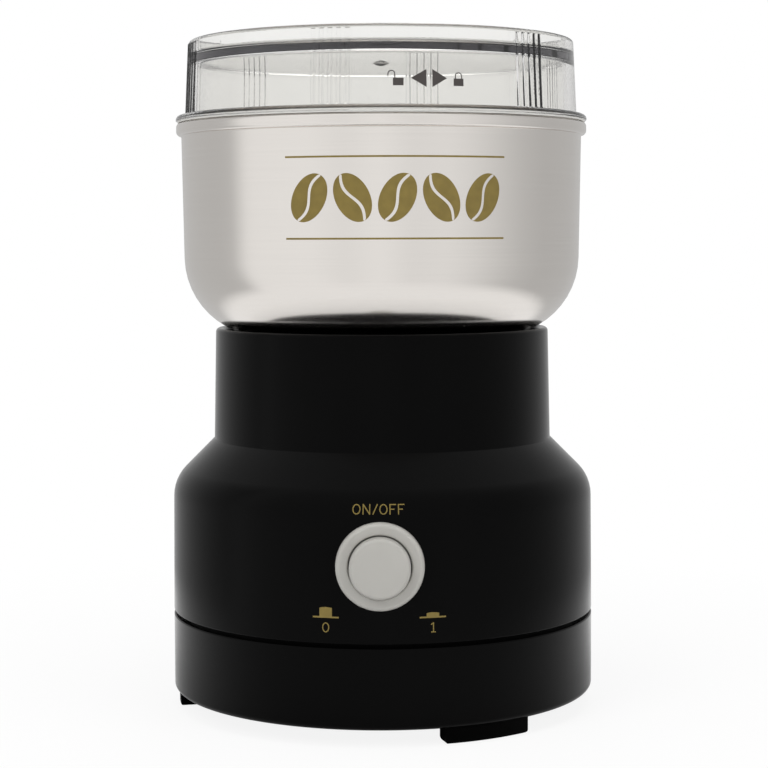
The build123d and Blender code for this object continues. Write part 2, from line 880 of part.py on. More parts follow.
def field_coil(side):
    """Coil round the front pole with side -1, round the rear pole with side 1."""
    inner_x = pole_width / 2 + coil_margin
    outer_x = window_x - coil_margin
    outer_y = window_y - coil_margin
    legs = Rectangle(outer_x * 2, outer_y, align=(Align.CENTER, Align.MIN))
    legs -= Rectangle(inner_x * 2, outer_y * 2)
    legs -= Rectangle(outer_x * 2, shoe_gap)
    legs -= Circle(shoe_radius + coil_margin)
    ends = Rectangle(outer_x * 2, coil_end_width, align=(Align.CENTER, Align.MAX))
    ends = Pos(0, outer_y) * ends
    ends = fillet(ends.vertices().group_by(Axis.Y)[-1], coil_end_round)
    ends -= Circle(coil_clearance_radius)
    body = Pos(0, 0, stator_bottom - coil_margin) * extrude(legs, stack_height + coil_margin * 2)
    body += Pos(0, 0, stator_top) * extrude(ends, coil_end_height)
    body += Pos(0, 0, stator_bottom - coil_end_height) * extrude(ends, coil_end_height)
    return body if side > 0 else Rot(0, 0, 180) * body


# Rotor

def rotor_shaft():
    return turned(
        (0, shaft_bottom, 0),
        (shaft_radius, shaft_bottom, 0),
        (shaft_radius, winding_top, 0),
        (shaft_collar_radius, winding_top, 0),
        (shaft_collar_radius, bush_bottom - clear - washer_thickness, 0),
        (shaft_radius, bush_bottom - clear - washer_thickness, 0),
        (shaft_radius, shaft_shoulder, 0),
        (shaft_end_radius, shaft_shoulder, 0),
        (shaft_end_radius, shaft_top, 0),
        (0, shaft_top, 0),
    )


def thrust_washers():
    upper = bush_bottom - clear
    lower = lower_hub_top + clear
    return Part() + [
        ring(shaft_radius, washer_radius, upper - washer_thickness, upper),
        ring(shaft_radius, washer_radius, lower, lower + washer_thickness),
    ]


def slot_outline(gap):
    """Plan of one armature slot on +X, drawn in by a gap on every side but its mouth."""
    inner = armature_radius - slot_depth + gap
    outer = armature_radius - slot_tip - gap
    return Pos((inner + outer) / 2, 0) * Rectangle(outer - inner, slot_width - gap * 2)


def armature_core():
    plan = Circle(armature_radius) - Circle(shaft_radius)
    mouth = Pos(armature_radius, 0) * Rectangle(slot_tip * 2 + slip, slot_mouth)
    for angle in around(slot_count, 0):
        plan -= Rot(0, 0, angle) * slot_outline(0)
        plan -= Rot(0, 0, angle) * mouth
    return Pos(0, 0, stator_bottom) * extrude(plan, stack_height)


def winding_end(face, tip):
    return turned(
        (shaft_radius, face, 0),
        (winding_radius, face, 0),
        (winding_radius, tip, winding_round),
        (shaft_radius, tip, 0),
    )


def armature_winding():
    plan = Sketch() + [Rot(0, 0, angle) * slot_outline(slip) for angle in around(slot_count, 0)]
    body = Pos(0, 0, stator_bottom) * extrude(plan, stack_height)
    return winding_end(stator_bottom, winding_bottom) + winding_end(stator_top, winding_top) + body


def commutator():
    riser_bottom = commutator_top - riser_height
    body = ring(shaft_radius, commutator_radius, commutator_bottom, commutator_top)
    body += ring(shaft_radius, riser_radius, riser_bottom, commutator_top)
    groove = block(
        (commutator_radius - segment_depth, -segment_gap / 2, commutator_bottom - overrun),
        (riser_radius + overrun, segment_gap / 2, commutator_top + overrun),
    )
    for angle in around(slot_count, 0):
        body -= Rot(0, 0, angle) * groove
    return body


def cooling_fan():
    disc_bottom = fan_top - fan_disc
    body = disc(fan_radius, disc_bottom, fan_top) + disc(fan_hub_radius, fan_bottom, fan_top)
    vane = block((0, -fan_vane_thickness / 2, fan_bottom), (fan_radius, fan_vane_thickness / 2, fan_top))
    vane = Pos(fan_hub_radius / 2, 0, 0) * Rot(0, 0, fan_vane_lean_angle) * vane
    vane &= disc(fan_radius, fan_bottom, fan_top)
    body += [Rot(0, 0, angle) * vane for angle in around(fan_vanes, 0)]
    return body - disc(shaft_radius, shaft_bottom, lower_hub_bottom)


def fan_retainer():
    return ring(shaft_radius, retainer_radius, fan_bottom - retainer_thickness, fan_bottom)


def blade_collar():
    return ring(shaft_end_radius, collar_radius, shaft_shoulder, blade_bottom)


def blade_strip(rise):
    """Strip along X with both ends bent to a rise, cut to rounded ends."""
    bend = blade_radius * blade_bend_share
    outline = Polyline(
        (-blade_radius, 0, blade_bottom + rise),
        (-bend, 0, blade_bottom),
        (bend, 0, blade_bottom),
        (blade_radius, 0, blade_bottom + rise),
        (blade_radius, 0, blade_top + rise),
        (bend, 0, blade_top),
        (-bend, 0, blade_top),
        (-blade_radius, 0, blade_top + rise),
        close=True,
    )
    strip = extrude(make_face(outline), blade_width / 2, both=True)
    plan = extrude(SlotOverall(blade_radius * 2, blade_width), rim_top)
    return strip & plan


def grinding_blade():
    body = blade_strip(blade_rise) + Rot(0, 0, 90) * blade_strip(-blade_dip)
    return body - disc(shaft_end_radius, deck_top, rim_top)


def blade_nut():
    dome_radius = (blade_nut_flats ** 2 / 4 + blade_nut_dome ** 2) / (blade_nut_dome * 2)
    dome = Pos(0, 0, blade_nut_top + blade_nut_dome - dome_radius) * Sphere(dome_radius)
    dome &= disc(blade_nut_flats / 2, blade_nut_top, blade_nut_top + blade_nut_dome)
    body = hexagon(blade_nut_flats, blade_top, blade_nut_top) + dome
    return body - disc(shaft_end_radius, blade_bottom, shaft_top)


# Brushes, made on the right and turned half round for the left

def brush_holder():
    body = block(
        (holder_inner, -holder_half_width, lower_bar_top),
        (holder_outer, holder_half_width, holder_top),
    )
    half_width = brush_width / 2 + slip
    half_height = brush_height / 2 + slip
    channel = block(
        (holder_inner - overrun, -half_width, brush_z - half_height),
        (channel_end, half_width, brush_z + half_height),
    )
    return body - channel


def carbon_brush():
    body = block(
        (0, -brush_width / 2, brush_z - brush_height / 2),
        (brush_back, brush_width / 2, brush_z + brush_height / 2),
    )
    return body - disc(brush_front, lower_bar_top, stator_bottom)


def brush_spring():
    coil = wound(brush_spring_radius, brush_spring_wire, brush_back, channel_end, brush_spring_turns)
    return Pos(0, 0, brush_z) * Rot(0, 90, 0) * coil


# Leads

def lead_switch_to_coil():
    """From the right terminal's end up into the middle of the front coil's lower end."""
    x = terminal_spread
    level = button_z - terminal_drop
    start_y = terminal_length - switch_back
    coil_y = -(coil_clearance_radius + window_y - coil_margin) / 2
    return lead((x, start_y, level), (x, coil_y, level), (x, coil_y, coil_bottom))


def lead_coil_to_brush():
    """From the front coil's lower end down and in to the side of the right brush holder."""
    x = (holder_inner + holder_outer) / 2
    y = (coil_end_width / 2 + coil_margin) - window_y
    level = coil_bottom - lead_drop
    return lead((x, y, coil_bottom), (x, y, level), (x, -holder_half_width, level))


def left_of(shape):
    return Rot(0, 0, 180) * shape


foot_angles = around(foot_count, foot_first_angle)

PARTS = {
    "base_cover": base_cover(),
    "foot_front_right": foot(foot_angles[0]),
    "foot_rear_right": foot(foot_angles[1]),
    "foot_left": foot(foot_angles[2]),
    "base_screws": base_screws(),
    "cord_gland": cord_gland(),
    "motor_housing": motor_housing(),
    "button_bezel": button_bezel(),
    "button_cap": button_cap(),
    "switch_plunger": switch_plunger(),
    "button_spring": button_spring(),
    "switch_body": switch_body(),
    "switch_terminals": switch_terminals(),
    "switch_screws": switch_screws(),
    "grinding_bowl": grinding_bowl(),
    "bowl_gasket": bowl_gasket(),
    "bowl_clamp_nut": bowl_clamp_nut(),
    "shaft_seal": shaft_seal(),
    "lid_seal": lid_seal(),
    "lid_cover": lid_cover(),
    "motor_damper": motor_damper(),
    "upper_motor_bracket": upper_motor_bracket(),
    "lower_motor_bracket": lower_motor_bracket(),
    "upper_bearing": upper_bearing(),
    "lower_bearing": lower_bearing(),
    "motor_screws": motor_screws(),
    "motor_nuts": motor_nuts(),
    "motor_mount_screws": motor_mount_screws(),
    "stator_core": stator_core(),
    "field_coil_front": field_coil(-1),
    "field_coil_rear": field_coil(1),
    "rotor_shaft": rotor_shaft(),
    "thrust_washers": thrust_washers(),
    "armature_core": armature_core(),
    "armature_winding": armature_winding(),
    "commutator": commutator(),
    "cooling_fan": cooling_fan(),
    "fan_retainer": fan_retainer(),
    "blade_collar": blade_collar(),
    "grinding_blade": grinding_blade(),
    "blade_nut": blade_nut(),
    "brush_holder_right": brush_holder(),
    "brush_holder_left": left_of(brush_holder()),
    "carbon_brush_right": carbon_brush(),
    "carbon_brush_left": left_of(carbon_brush()),
    "brush_spring_right": brush_spring(),
    "brush_spring_left": left_of(brush_spring()),
    "lead_switch_to_coil": lead_switch_to_coil(),
    "lead_coil_to_right_brush": lead_coil_to_brush(),
    "lead_coil_to_left_brush": left_of(lead_coil_to_brush()),
}

os.makedirs("parts", exist_ok=True)
for name, shape in PARTS.items():
    export_step(shape, f"parts/{name}.step")
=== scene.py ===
import json
import math

import bmesh
import bpy
from mathutils import Matrix, Vector


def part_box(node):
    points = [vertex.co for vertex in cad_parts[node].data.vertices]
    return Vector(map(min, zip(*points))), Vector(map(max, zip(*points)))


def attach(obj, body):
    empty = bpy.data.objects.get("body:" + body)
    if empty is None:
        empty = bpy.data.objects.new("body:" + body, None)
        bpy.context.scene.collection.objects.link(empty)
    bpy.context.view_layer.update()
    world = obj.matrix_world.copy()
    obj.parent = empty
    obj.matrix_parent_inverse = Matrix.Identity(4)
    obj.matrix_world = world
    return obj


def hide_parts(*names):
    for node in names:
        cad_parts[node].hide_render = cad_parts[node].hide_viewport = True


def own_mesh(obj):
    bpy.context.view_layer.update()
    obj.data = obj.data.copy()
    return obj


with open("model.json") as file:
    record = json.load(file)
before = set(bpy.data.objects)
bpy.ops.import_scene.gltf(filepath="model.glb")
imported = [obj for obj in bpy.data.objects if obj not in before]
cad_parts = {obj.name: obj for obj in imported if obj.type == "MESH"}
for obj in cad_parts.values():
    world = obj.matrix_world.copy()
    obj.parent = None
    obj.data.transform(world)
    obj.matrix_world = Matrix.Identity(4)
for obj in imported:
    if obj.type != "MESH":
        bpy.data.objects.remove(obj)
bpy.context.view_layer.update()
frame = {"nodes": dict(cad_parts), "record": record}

# Sizes are in millimetres. Heights and depths come from the frame.

MM = 0.001
SEGMENTS, BUTTON_SEGMENTS, ROD_SEGMENTS = 240, 144, 64
ARC_STEP, RUN_STEP = 7.5, 1.2
HAIR, OVERRUN = 0.02, 1.0
FRONT = -90


def lowest(node):
    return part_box(node)[0] / MM


def highest(node):
    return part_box(node)[1] / MM


def middle(node):
    return (lowest(node) + highest(node)) / 2


def spaced(count, first):
    return tuple(first + step * 360 / count for step in range(count))


BASE_R, WALL, FLOOR_THICK = 54.5, 2.4, 2.4
BASE_EDGE, SEAM_EDGE = 1.5, 0.35
SPIGOT_R, SPIGOT_INNER, SPIGOT_HEIGHT, LEDGE_DROP = 51.85, 50.05, 3.0, 2.0
BASE_BOTTOM, SPIGOT_TOP = lowest("base_cover").z, highest("base_cover").z
BASE_TOP, FLOOR_TOP = SPIGOT_TOP - SPIGOT_HEIGHT, BASE_BOTTOM + FLOOR_THICK
LEDGE_TOP = BASE_TOP - LEDGE_DROP
LEDGE_BOTTOM = LEDGE_TOP - (BASE_R - WALL - SPIGOT_INNER)
SCREW_CIRCLE, SCREW_ANGLES = 44.0, spaced(3, 0)
TOWER_R, SCREW_HOLE, SCREW_WELL, WELL_DEPTH = 5.2, 1.75, 3.45, 6.0
WELL_TOP = BASE_BOTTOM + WELL_DEPTH
VENT_IN, VENT_OUT, VENT_WIDTH, VENT_COUNT = 14.0, 28.0, 3.0, 12
PEG_CIRCLE, PEG_R, FOOT_ANGLES = 47.8, 2.4, spaced(3, -60.4)
GLAND_Z, GLAND_R = middle("cord_gland").z, 4.6

HOUSING_BOTTOM, HOUSING_TOP = lowest("motor_housing").z, highest("motor_housing").z
BELLY_R, CREASE_R, NECK_R, NECK_HEIGHT, SHOULDER_SLOPE = 54.2, 43.6, 43.0, 28.5, 45
CREASE_Z = HOUSING_TOP - NECK_HEIGHT
SHOULDER_Z = CREASE_Z - (BELLY_R - CREASE_R) * math.tan(math.radians(SHOULDER_SLOPE))
SHOULDER_ROUND, CREASE_ROUND, NECK_EDGE = 10.3, 0.25, 1.008
DECK_TOP, DECK_THICK, DECK_HOLE = lowest("grinding_bowl").z, 3.0, 8.25
DECK_BOTTOM = DECK_TOP - DECK_THICK

BUTTON_Z = middle("button_cap").z
BEZEL_FRONT, BEZEL_BACK = -lowest("button_bezel").y, -highest("button_bezel").y
BEZEL_R, BEZEL_EDGE, BEZEL_LIP, BEZEL_DEPTH = 10.55, 1.15, 0.45, 3.0
BEZEL_SEAT = BEZEL_FRONT - BEZEL_DEPTH
BEZEL_TUBE, BEZEL_HOLE, HOUSING_HOLE = 8.85, 7.55, 9.1
CAP_FRONT, CAP_BACK = -lowest("button_cap").y, -highest("button_cap").y
CAP_R, CAP_LIP_R, CAP_INNER, CAP_LIP, CAP_THICK = 7.3, 8.4, 5.9, 1.2, 1.8
CAP_LIP_FRONT, CAP_FACE = CAP_BACK + CAP_LIP, CAP_FRONT - CAP_THICK
CAP_EDGE, CAP_CROWN = 1.1, 0.4
SPRING_FRONT, SPRING_BACK = -lowest("button_spring").y, -highest("button_spring").y
SPRING_R, SPRING_WIRE, SPRING_TURNS, BUTTON_TRAVEL = 4.2, 0.4, 5, 3.0

BOWL_HOLE, BOWL_FLOOR_R, BOWL_CORNER, SHEET = 8.25, 50.57, 20.38, 0.8
BOWL_RIM_R, RIM_TOP = 51.4, highest("grinding_bowl").z
BEAD_R, BEAD_ROUND, BEAD_HEIGHT = 52.7, 1.105, 3.3
BEAD_BOTTOM = RIM_TOP - BEAD_HEIGHT
GROOVE_R, LIP_R, FOLD_ROUND = 51.9, 50.6, 0.25
LUG_ANGLES, NOTCH_HALF, NOTCH_R = spaced(3, -30), 9.0, 51.85

SKIRT_R, SKIRT_INNER, SKIRT_BOTTOM, SKIRT_ROUND = 49.9, 47.9, lowest("lid_cover").z, 0.5
FLANGE_R, FLANGE_ROUND, FLANGE_HEIGHT = 52.8, 1.189, 1.45
FLANGE_BOTTOM, LID_TOP = highest("lid_seal").z, highest("lid_cover").z
FLANGE_TOP = FLANGE_BOTTOM + FLANGE_HEIGHT
LID_BASE_R, LID_TOP_R, LID_INNER, LID_RIM = 50.2, 49.3, 47.3, 0.9
PLATE_DROP, PLATE_THICK, PLATE_ROUND = 4.3, 1.5, 1.2
PLATE_TOP = LID_TOP - PLATE_DROP
PLATE_BOTTOM = PLATE_TOP - PLATE_THICK
GATE_R, GATE_DEPTH = 2.9, 0.75
LUG_R, LUG_HALF, LUG_GAP = 51.5, 7.0, 1.2
LUG_BOTTOM, LUG_TOP = BEAD_BOTTOM + LUG_GAP, RIM_TOP - LUG_GAP
GRIP_ANGLES, GRIP_OFFSETS = spaced(6, -103.2), (-4.8, -2.4, 0, 2.4, 4.8)
RIB_R, RIB_PROUD, RIB_END = 0.8, 0.4, 0.25
RIB_BOTTOM, RIB_TOP = FLANGE_TOP + RIB_END, LID_TOP - LID_RIM - RIB_END


# Meshes

def rounded(corners):
    """Closed outline from corners of radius, height and rounding."""
    points = []
    for index, (radius, height, rounding) in enumerate(corners):
        here = Vector((radius, height))
        if not rounding:
            points.append((radius, height))
            continue
        before = (Vector(corners[index - 1][:2]) - here).normalized()
        after = (Vector(corners[(index + 1) % len(corners)][:2]) - here).normalized()
        turn = math.pi - before.angle(after)
        centre = here + (before + after).normalized() * rounding / math.cos(turn / 2)
        first = here + before * rounding * math.tan(turn / 2) - centre
        last = here + after * rounding * math.tan(turn / 2) - centre
        steps = max(3, math.ceil(math.degrees(turn) / ARC_STEP))
        for step in range(steps + 1):
            part = turn * step / steps
            arm = (first * math.sin(turn - part) + last * math.sin(part)) / math.sin(turn)
            points.append(tuple(centre + arm))
    return points


def split_runs(points, longest, low, high):
    """Add points to the runs between two heights so that none is longer than a step."""
    result = []
    for (r0, z0), (r1, z1) in zip(points, points[1:] + points[:1]):
        result.append((r0, z0))
        if low <= min(z0, z1) and max(z0, z1) <= high:
            parts = math.ceil(math.hypot(r1 - r0, z1 - z0) / longest)
            result += [(r0 + (r1 - r0) * k / parts, z0 + (z1 - z0) * k / parts) for k in range(1, parts)]
    return result


def lathe(name, outline, angles=spaced(SEGMENTS, 0), reshape=None):
    """Closed mesh turned about Z. Points on the axis become one vertex."""
    mesh = bmesh.new()
    rings = []
    for radius, height in outline:
        if radius < HAIR / 2:
            rings.append([mesh.verts.new((0, 0, height * MM))])
            continue
        ring = []
        for angle in angles:
            r, z = reshape(radius, height, angle) if reshape else (radius, height)
            x, y = polar(r, angle)
            ring.append(mesh.verts.new((x * MM, y * MM, z * MM)))
        rings.append(ring)
    for low, high in zip(rings, rings[1:] + rings[:1]):
        if len(low) == 1 and len(high) == 1:
            continue
        for k in range(len(angles)):
            after = (k + 1) % len(angles)
            if len(low) == 1:
                mesh.faces.new((low[0], high[after], high[k]))
            elif len(high) == 1:
                mesh.faces.new((low[k], low[after], high[0]))
            else:
                mesh.faces.new((low[k], low[after], high[after], high[k]))
    return to_object(name, mesh)


def to_object(name, mesh):
    bmesh.ops.recalc_face_normals(mesh, faces=mesh.faces)
    data = bpy.data.meshes.new(name)
    mesh.to_mesh(data)
    mesh.free()
    item = bpy.data.objects.new(name, data)
    bpy.context.scene.collection.objects.link(item)
    return item


def aim_front(item, height):
    """Turn a piece made along +Z to point out of the front, at a height."""
    item.data.transform(Matrix(((1, 0, 0, 0), (0, 0, -1, 0), (0, 1, 0, height * MM), (0, 0, 0, 1))))


def rod(radius, bottom, top, x=0.0, y=0.0):
    mesh = bmesh.new()
    place = Matrix.Translation((x * MM, y * MM, (bottom + top) / 2 * MM))
    bmesh.ops.create_cone(mesh, cap_ends=True, segments=ROD_SEGMENTS, matrix=place,
                          radius1=radius * MM, radius2=radius * MM, depth=(top - bottom) * MM)
    return to_object("tool", mesh)


def rods(radius, bottom, top, circle, angles):
    return [rod(radius, bottom, top, *polar(circle, angle)) for angle in angles]


def polar(radius, angle):
    return radius * math.cos(math.radians(angle)), radius * math.sin(math.radians(angle))


def join(items):
    """One object out of several that don't touch each other."""
    mesh = bmesh.new()
    for item in items:
        mesh.from_mesh(item.data)
        bpy.data.objects.remove(item)
    return to_object("tool", mesh)


def combine(item, tool, operation):
    """Cut a tool out of a piece, or add it, and keep the result as the piece's mesh."""
    change = item.modifiers.new("change", "BOOLEAN")
    change.operation = operation
    change.solver = "EXACT"
    change.object = tool
    graph = bpy.context.evaluated_depsgraph_get()
    data = bpy.data.meshes.new_from_object(item.evaluated_get(graph))
    item.modifiers.clear()
    item.data = data
    bpy.data.objects.remove(tool)


def dress(item, body, material, node=None, sharp=32):
    """Smooth the piece, give it its material and tie it to the frame."""
    item.data.shade_smooth()
    item.data.set_sharp_from_angle(angle=math.radians(sharp))
    item.data.materials.clear()
    item.data.materials.append(material)
    weigh = item.modifiers.new("normals", "WEIGHTED_NORMAL")
    weigh.keep_sharp = True
    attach(item, body)
    if node:
        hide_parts(node)
    return item


def radius_at(outline, height):
    """Outer radius of an outline at a height."""
    best = 0.0
    for (r0, z0), (r1, z1) in zip(outline, outline[1:] + outline[:1]):
        if min(z0, z1) <= height <= max(z0, z1) and z0 != z1:
            best = max(best, r0 + (r1 - r0) * (height - z0) / (z1 - z0))
    return best


# Materials

def new_material(name):
    material = bpy.data.materials.new(name)
    material.use_nodes = True
    tree = material.node_tree
    return material, tree, tree.nodes["Principled BSDF"]


def noise(tree, scale, detail=3.0, stretch=(1, 1, 1)):
    place = tree.nodes.new("ShaderNodeTexCoord")
    mapping = tree.nodes.new("ShaderNodeMapping")
    mapping.inputs["Scale"].default_value = stretch
    texture = tree.nodes.new("ShaderNodeTexNoise")
    texture.inputs["Scale"].default_value = scale
    texture.inputs["Detail"].default_value = detail
    tree.links.new(place.outputs["Object"], mapping.inputs["Vector"])
    tree.links.new(mapping.outputs["Vector"], texture.inputs["Vector"])
    return texture.outputs["Fac"]


def ranged(tree, value, low, high, start=0.3, end=0.7):
    node = tree.nodes.new("ShaderNodeMapRange")
    node.inputs["From Min"].default_value = start
    node.inputs["From Max"].default_value = end
    node.inputs["To Min"].default_value = low
    node.inputs["To Max"].default_value = high
    tree.links.new(value, node.inputs["Value"])
    return node.outputs["Result"]


def colour_ramp(tree, value, stops, blend="LINEAR"):
    """Colours along a value from zero to one, from stops of place and colour."""
    ramp = tree.nodes.new("ShaderNodeValToRGB")
    ramp.color_ramp.interpolation = blend
    elements = ramp.color_ramp.elements
    while len(elements) < len(stops):
        elements.new(1.0)
    for element, (position, colour) in zip(elements, stops):
        element.position = position
        element.color = (*colour, 1)
    tree.links.new(value, ramp.inputs["Fac"])
    return ramp.outputs["Color"]


def bump(tree, shader, value, strength, depth):
    node = tree.nodes.new("ShaderNodeBump")
    node.inputs["Strength"].default_value = strength
    node.inputs["Distance"].default_value = depth * MM
    tree.links.new(value, node.inputs["Height"])
    tree.links.new(node.outputs["Normal"], shader.inputs["Normal"])


def surface(name, colour, rough, metal=0.0, vary=0.12, cloud=60.0, grain=900.0, strength=0.15, depth=0.05,
            stretch=(1, 1, 1), **constants):
    """Material with a clouded colour, a grained roughness and a fine bump."""
    material, tree, shader = new_material(name)
    clouds = noise(tree, cloud, stretch=stretch)
    darker = tuple(c * (1 - vary) for c in colour)
    lighter = tuple(min(1, c * (1 + vary)) for c in colour)
    tree.links.new(colour_ramp(tree, clouds, ((0.3, darker), (0.7, lighter))), shader.inputs["Base Color"])
    fine = noise(tree, grain, 4.0, stretch)
    tree.links.new(ranged(tree, fine, rough * 0.85, rough * 1.15), shader.inputs["Roughness"])
    bump(tree, shader, fine, strength, depth)
    shader.inputs["Metallic"].default_value = metal
    for socket, value in constants.items():
        shader.inputs[socket.replace("_", " ")].default_value = value
    return material


def bowl_steel():
    """Satin steel with a faint brushing round the axis."""
    material = surface("bowl_steel", (0.757, 0.724, 0.688), 0.17, metal=1.0, vary=0.012, cloud=4, grain=9,
                       strength=0.025, depth=0.02, stretch=(6, 6, 700), Anisotropic=0.35)
    tree = material.node_tree
    tangent = tree.nodes.new("ShaderNodeTangent")
    tangent.direction_type = "RADIAL"
    tangent.axis = "Z"
    tree.links.new(tangent.outputs["Tangent"], tree.nodes["Principled BSDF"].inputs["Tangent"])
    return material


def clear_plastic():
    """Clear moulding with slight flow waves, grey where it is looked through lengthwise."""
    material, tree, shader = new_material("clear_plastic")
    flow = noise(tree, 45.0, 2.0, (1, 1, 0.35))
    tints = ((0.3, (0.92, 0.915, 0.89)), (0.7, (0.94, 0.935, 0.91)))
    tree.links.new(colour_ramp(tree, flow, tints), shader.inputs["Base Color"])
    tree.links.new(ranged(tree, flow, 0.012, 0.03), shader.inputs["Roughness"])
    bump(tree, shader, flow, 0.06, 0.1)
    shader.inputs["Transmission Weight"].default_value = 1.0
    shader.inputs["IOR"].default_value = 1.49
    soak = tree.nodes.new("ShaderNodeVolumeAbsorption")
    soak.inputs["Color"].default_value = (0.55, 0.545, 0.56, 1)
    soak.inputs["Density"].default_value = 70.0
    tree.links.new(soak.outputs["Volume"], tree.nodes["Material Output"].inputs["Volume"])
    return material


MATERIALS = {
    "gloss_black": surface("gloss_black", (0.0009, 0.0009, 0.0009), 0.15, vary=0.2, cloud=25, grain=260,
                           strength=0.04, Specular_IOR_Level=0.12, Specular_Tint=(0.4, 0.4, 0.4, 1)),
    "foot_rubber": surface("foot_rubber", (0.0012, 0.0012, 0.0012), 0.6, vary=0.25, grain=1400, strength=0.3,
                           Specular_IOR_Level=0.05, Specular_Tint=(0.1, 0.1, 0.1, 1)),
    "clear_plastic": clear_plastic(),
    "bowl_steel": bowl_steel(),
    "grey_button": surface("grey_button", (0.414, 0.405, 0.378), 0.34, vary=0.03, cloud=90, grain=1500,
                           strength=0.12, depth=0.02),
    "seal_rubber": surface("seal_rubber", (0.055, 0.055, 0.053), 0.65, vary=0.2, grain=1800, strength=0.25),
    "seal_silicone": surface("seal_silicone", (0.78, 0.77, 0.74), 0.5, vary=0.06, grain=1800, strength=0.2),
    "plain_steel": surface("plain_steel", (0.56, 0.555, 0.55), 0.28, metal=1.0, vary=0.06, cloud=80, grain=700,
                           strength=0.08, depth=0.02, stretch=(1, 8, 8)),
    "laminated_steel": surface("laminated_steel", (0.23, 0.23, 0.24), 0.45, metal=0.9, vary=0.3, cloud=20,
                               grain=14, strength=0.5, depth=0.1, stretch=(1, 1, 140)),
    "copper_winding": surface("copper_winding", (0.45, 0.17, 0.07), 0.32, metal=0.9, vary=0.25, cloud=14,
                              grain=16, strength=0.7, depth=0.2, stretch=(4, 4, 110)),
    "copper_bar": surface("copper_bar", (0.62, 0.32, 0.18), 0.26, metal=1.0, cloud=90, grain=20, strength=0.1,
                          stretch=(4, 4, 120)),
    "cast_alloy": surface("cast_alloy", (0.5, 0.5, 0.51), 0.5, metal=1.0, cloud=120, grain=1200, strength=0.35,
                          depth=0.06),
    "bearing_bronze": surface("bearing_bronze", (0.5, 0.34, 0.16), 0.42, metal=1.0, vary=0.18, cloud=300,
                              grain=2200, strength=0.3),
    "switch_plastic": surface("switch_plastic", (0.03, 0.03, 0.032), 0.55, vary=0.15, grain=1500, strength=0.25),
    "brush_carbon": surface("brush_carbon", (0.028, 0.028, 0.03), 0.7, vary=0.25, cloud=400, grain=2600,
                            strength=0.4),
    "fan_plastic": surface("fan_plastic", (0.66, 0.64, 0.57), 0.45, vary=0.05, cloud=70, strength=0.12),
    "terminal_brass": surface("terminal_brass", (0.62, 0.46, 0.18), 0.3, metal=1.0),
    "lead_cover": surface("lead_cover", (0.25, 0.03, 0.025), 0.45, cloud=200, grain=1300),
}
GOLD = surface("gold_print", (0.2, 0.148, 0.04), 0.5, vary=0.1, cloud=400, grain=2500, strength=0.1, depth=0.01,
               Specular_IOR_Level=0.25)
DARK = surface("dark_print", (0.045, 0.038, 0.035), 0.5, cloud=400, grain=2500, strength=0.1, depth=0.01)

BEVEL, BEVEL_ANGLE = 0.2, 40
for entry in frame["record"]["subparts"]:
    for place in frame["nodes"][entry["node"]].material_slots:
        place.material = MATERIALS[entry["material_slot"]]
for name in ("cord_gland", "grinding_blade", "bowl_clamp_nut"):
    soften = frame["nodes"][name].modifiers.new("edges", "BEVEL")
    soften.width = BEVEL * MM
    soften.segments = 2
    soften.limit_method = "ANGLE"
    soften.angle_limit = math.radians(BEVEL_ANGLE)


# Motor housing

drop = WALL * math.tan(math.radians(SHOULDER_SLOPE / 2))
housing_outline = rounded([
    (BASE_R, HOUSING_BOTTOM, SEAM_EDGE),
    (BELLY_R, SHOULDER_Z, SHOULDER_ROUND),
    (CREASE_R, CREASE_Z, CREASE_ROUND),
    (NECK_R, HOUSING_TOP, NECK_EDGE),
    (NECK_R - WALL, HOUSING_TOP, NECK_EDGE),
    (NECK_R - WALL, DECK_TOP, 0),
    (DECK_HOLE, DECK_TOP, 0),
    (DECK_HOLE, DECK_BOTTOM, 0),
    (NECK_R - WALL, DECK_BOTTOM, 0),
    (CREASE_R - WALL, CREASE_Z - drop, 0),
    (BELLY_R - WALL, SHOULDER_Z - drop, SHOULDER_ROUND - WALL),
    (BASE_R - WALL, HOUSING_BOTTOM, 0),
])
housing = lathe("motor_housing_shell", split_runs(housing_outline, RUN_STEP, HOUSING_BOTTOM, SHOULDER_Z))
hole = rod(HOUSING_HOLE, BASE_R / 2, BASE_R + WALL)
aim_front(hole, BUTTON_Z)
combine(housing, hole, "DIFFERENCE")
dress(housing, "grinder_body", MATERIALS["gloss_black"], "motor_housing")


# Base cover

def vent_tool(angle, bottom, top):
    """Upright slot with round ends, as a cutter."""
    mesh = bmesh.new()
    rim = []
    for end, centre in ((1, VENT_OUT), (-1, VENT_IN)):
        for k in range(13):
            x, y = polar(VENT_WIDTH / 2, 15 * k + FRONT)
            rim.append(mesh.verts.new(((centre + end * x) * MM, end * y * MM, bottom * MM)))
    grown = bmesh.ops.extrude_face_region(mesh, geom=[mesh.faces.new(rim)])["geom"]
    lifted = [item for item in grown if isinstance(item, bmesh.types.BMVert)]
    bmesh.ops.translate(mesh, verts=lifted, vec=(0, 0, (top - bottom) * MM))
    mesh.transform(Matrix.Rotation(math.radians(angle), 4, "Z"))
    return to_object("tool", mesh)


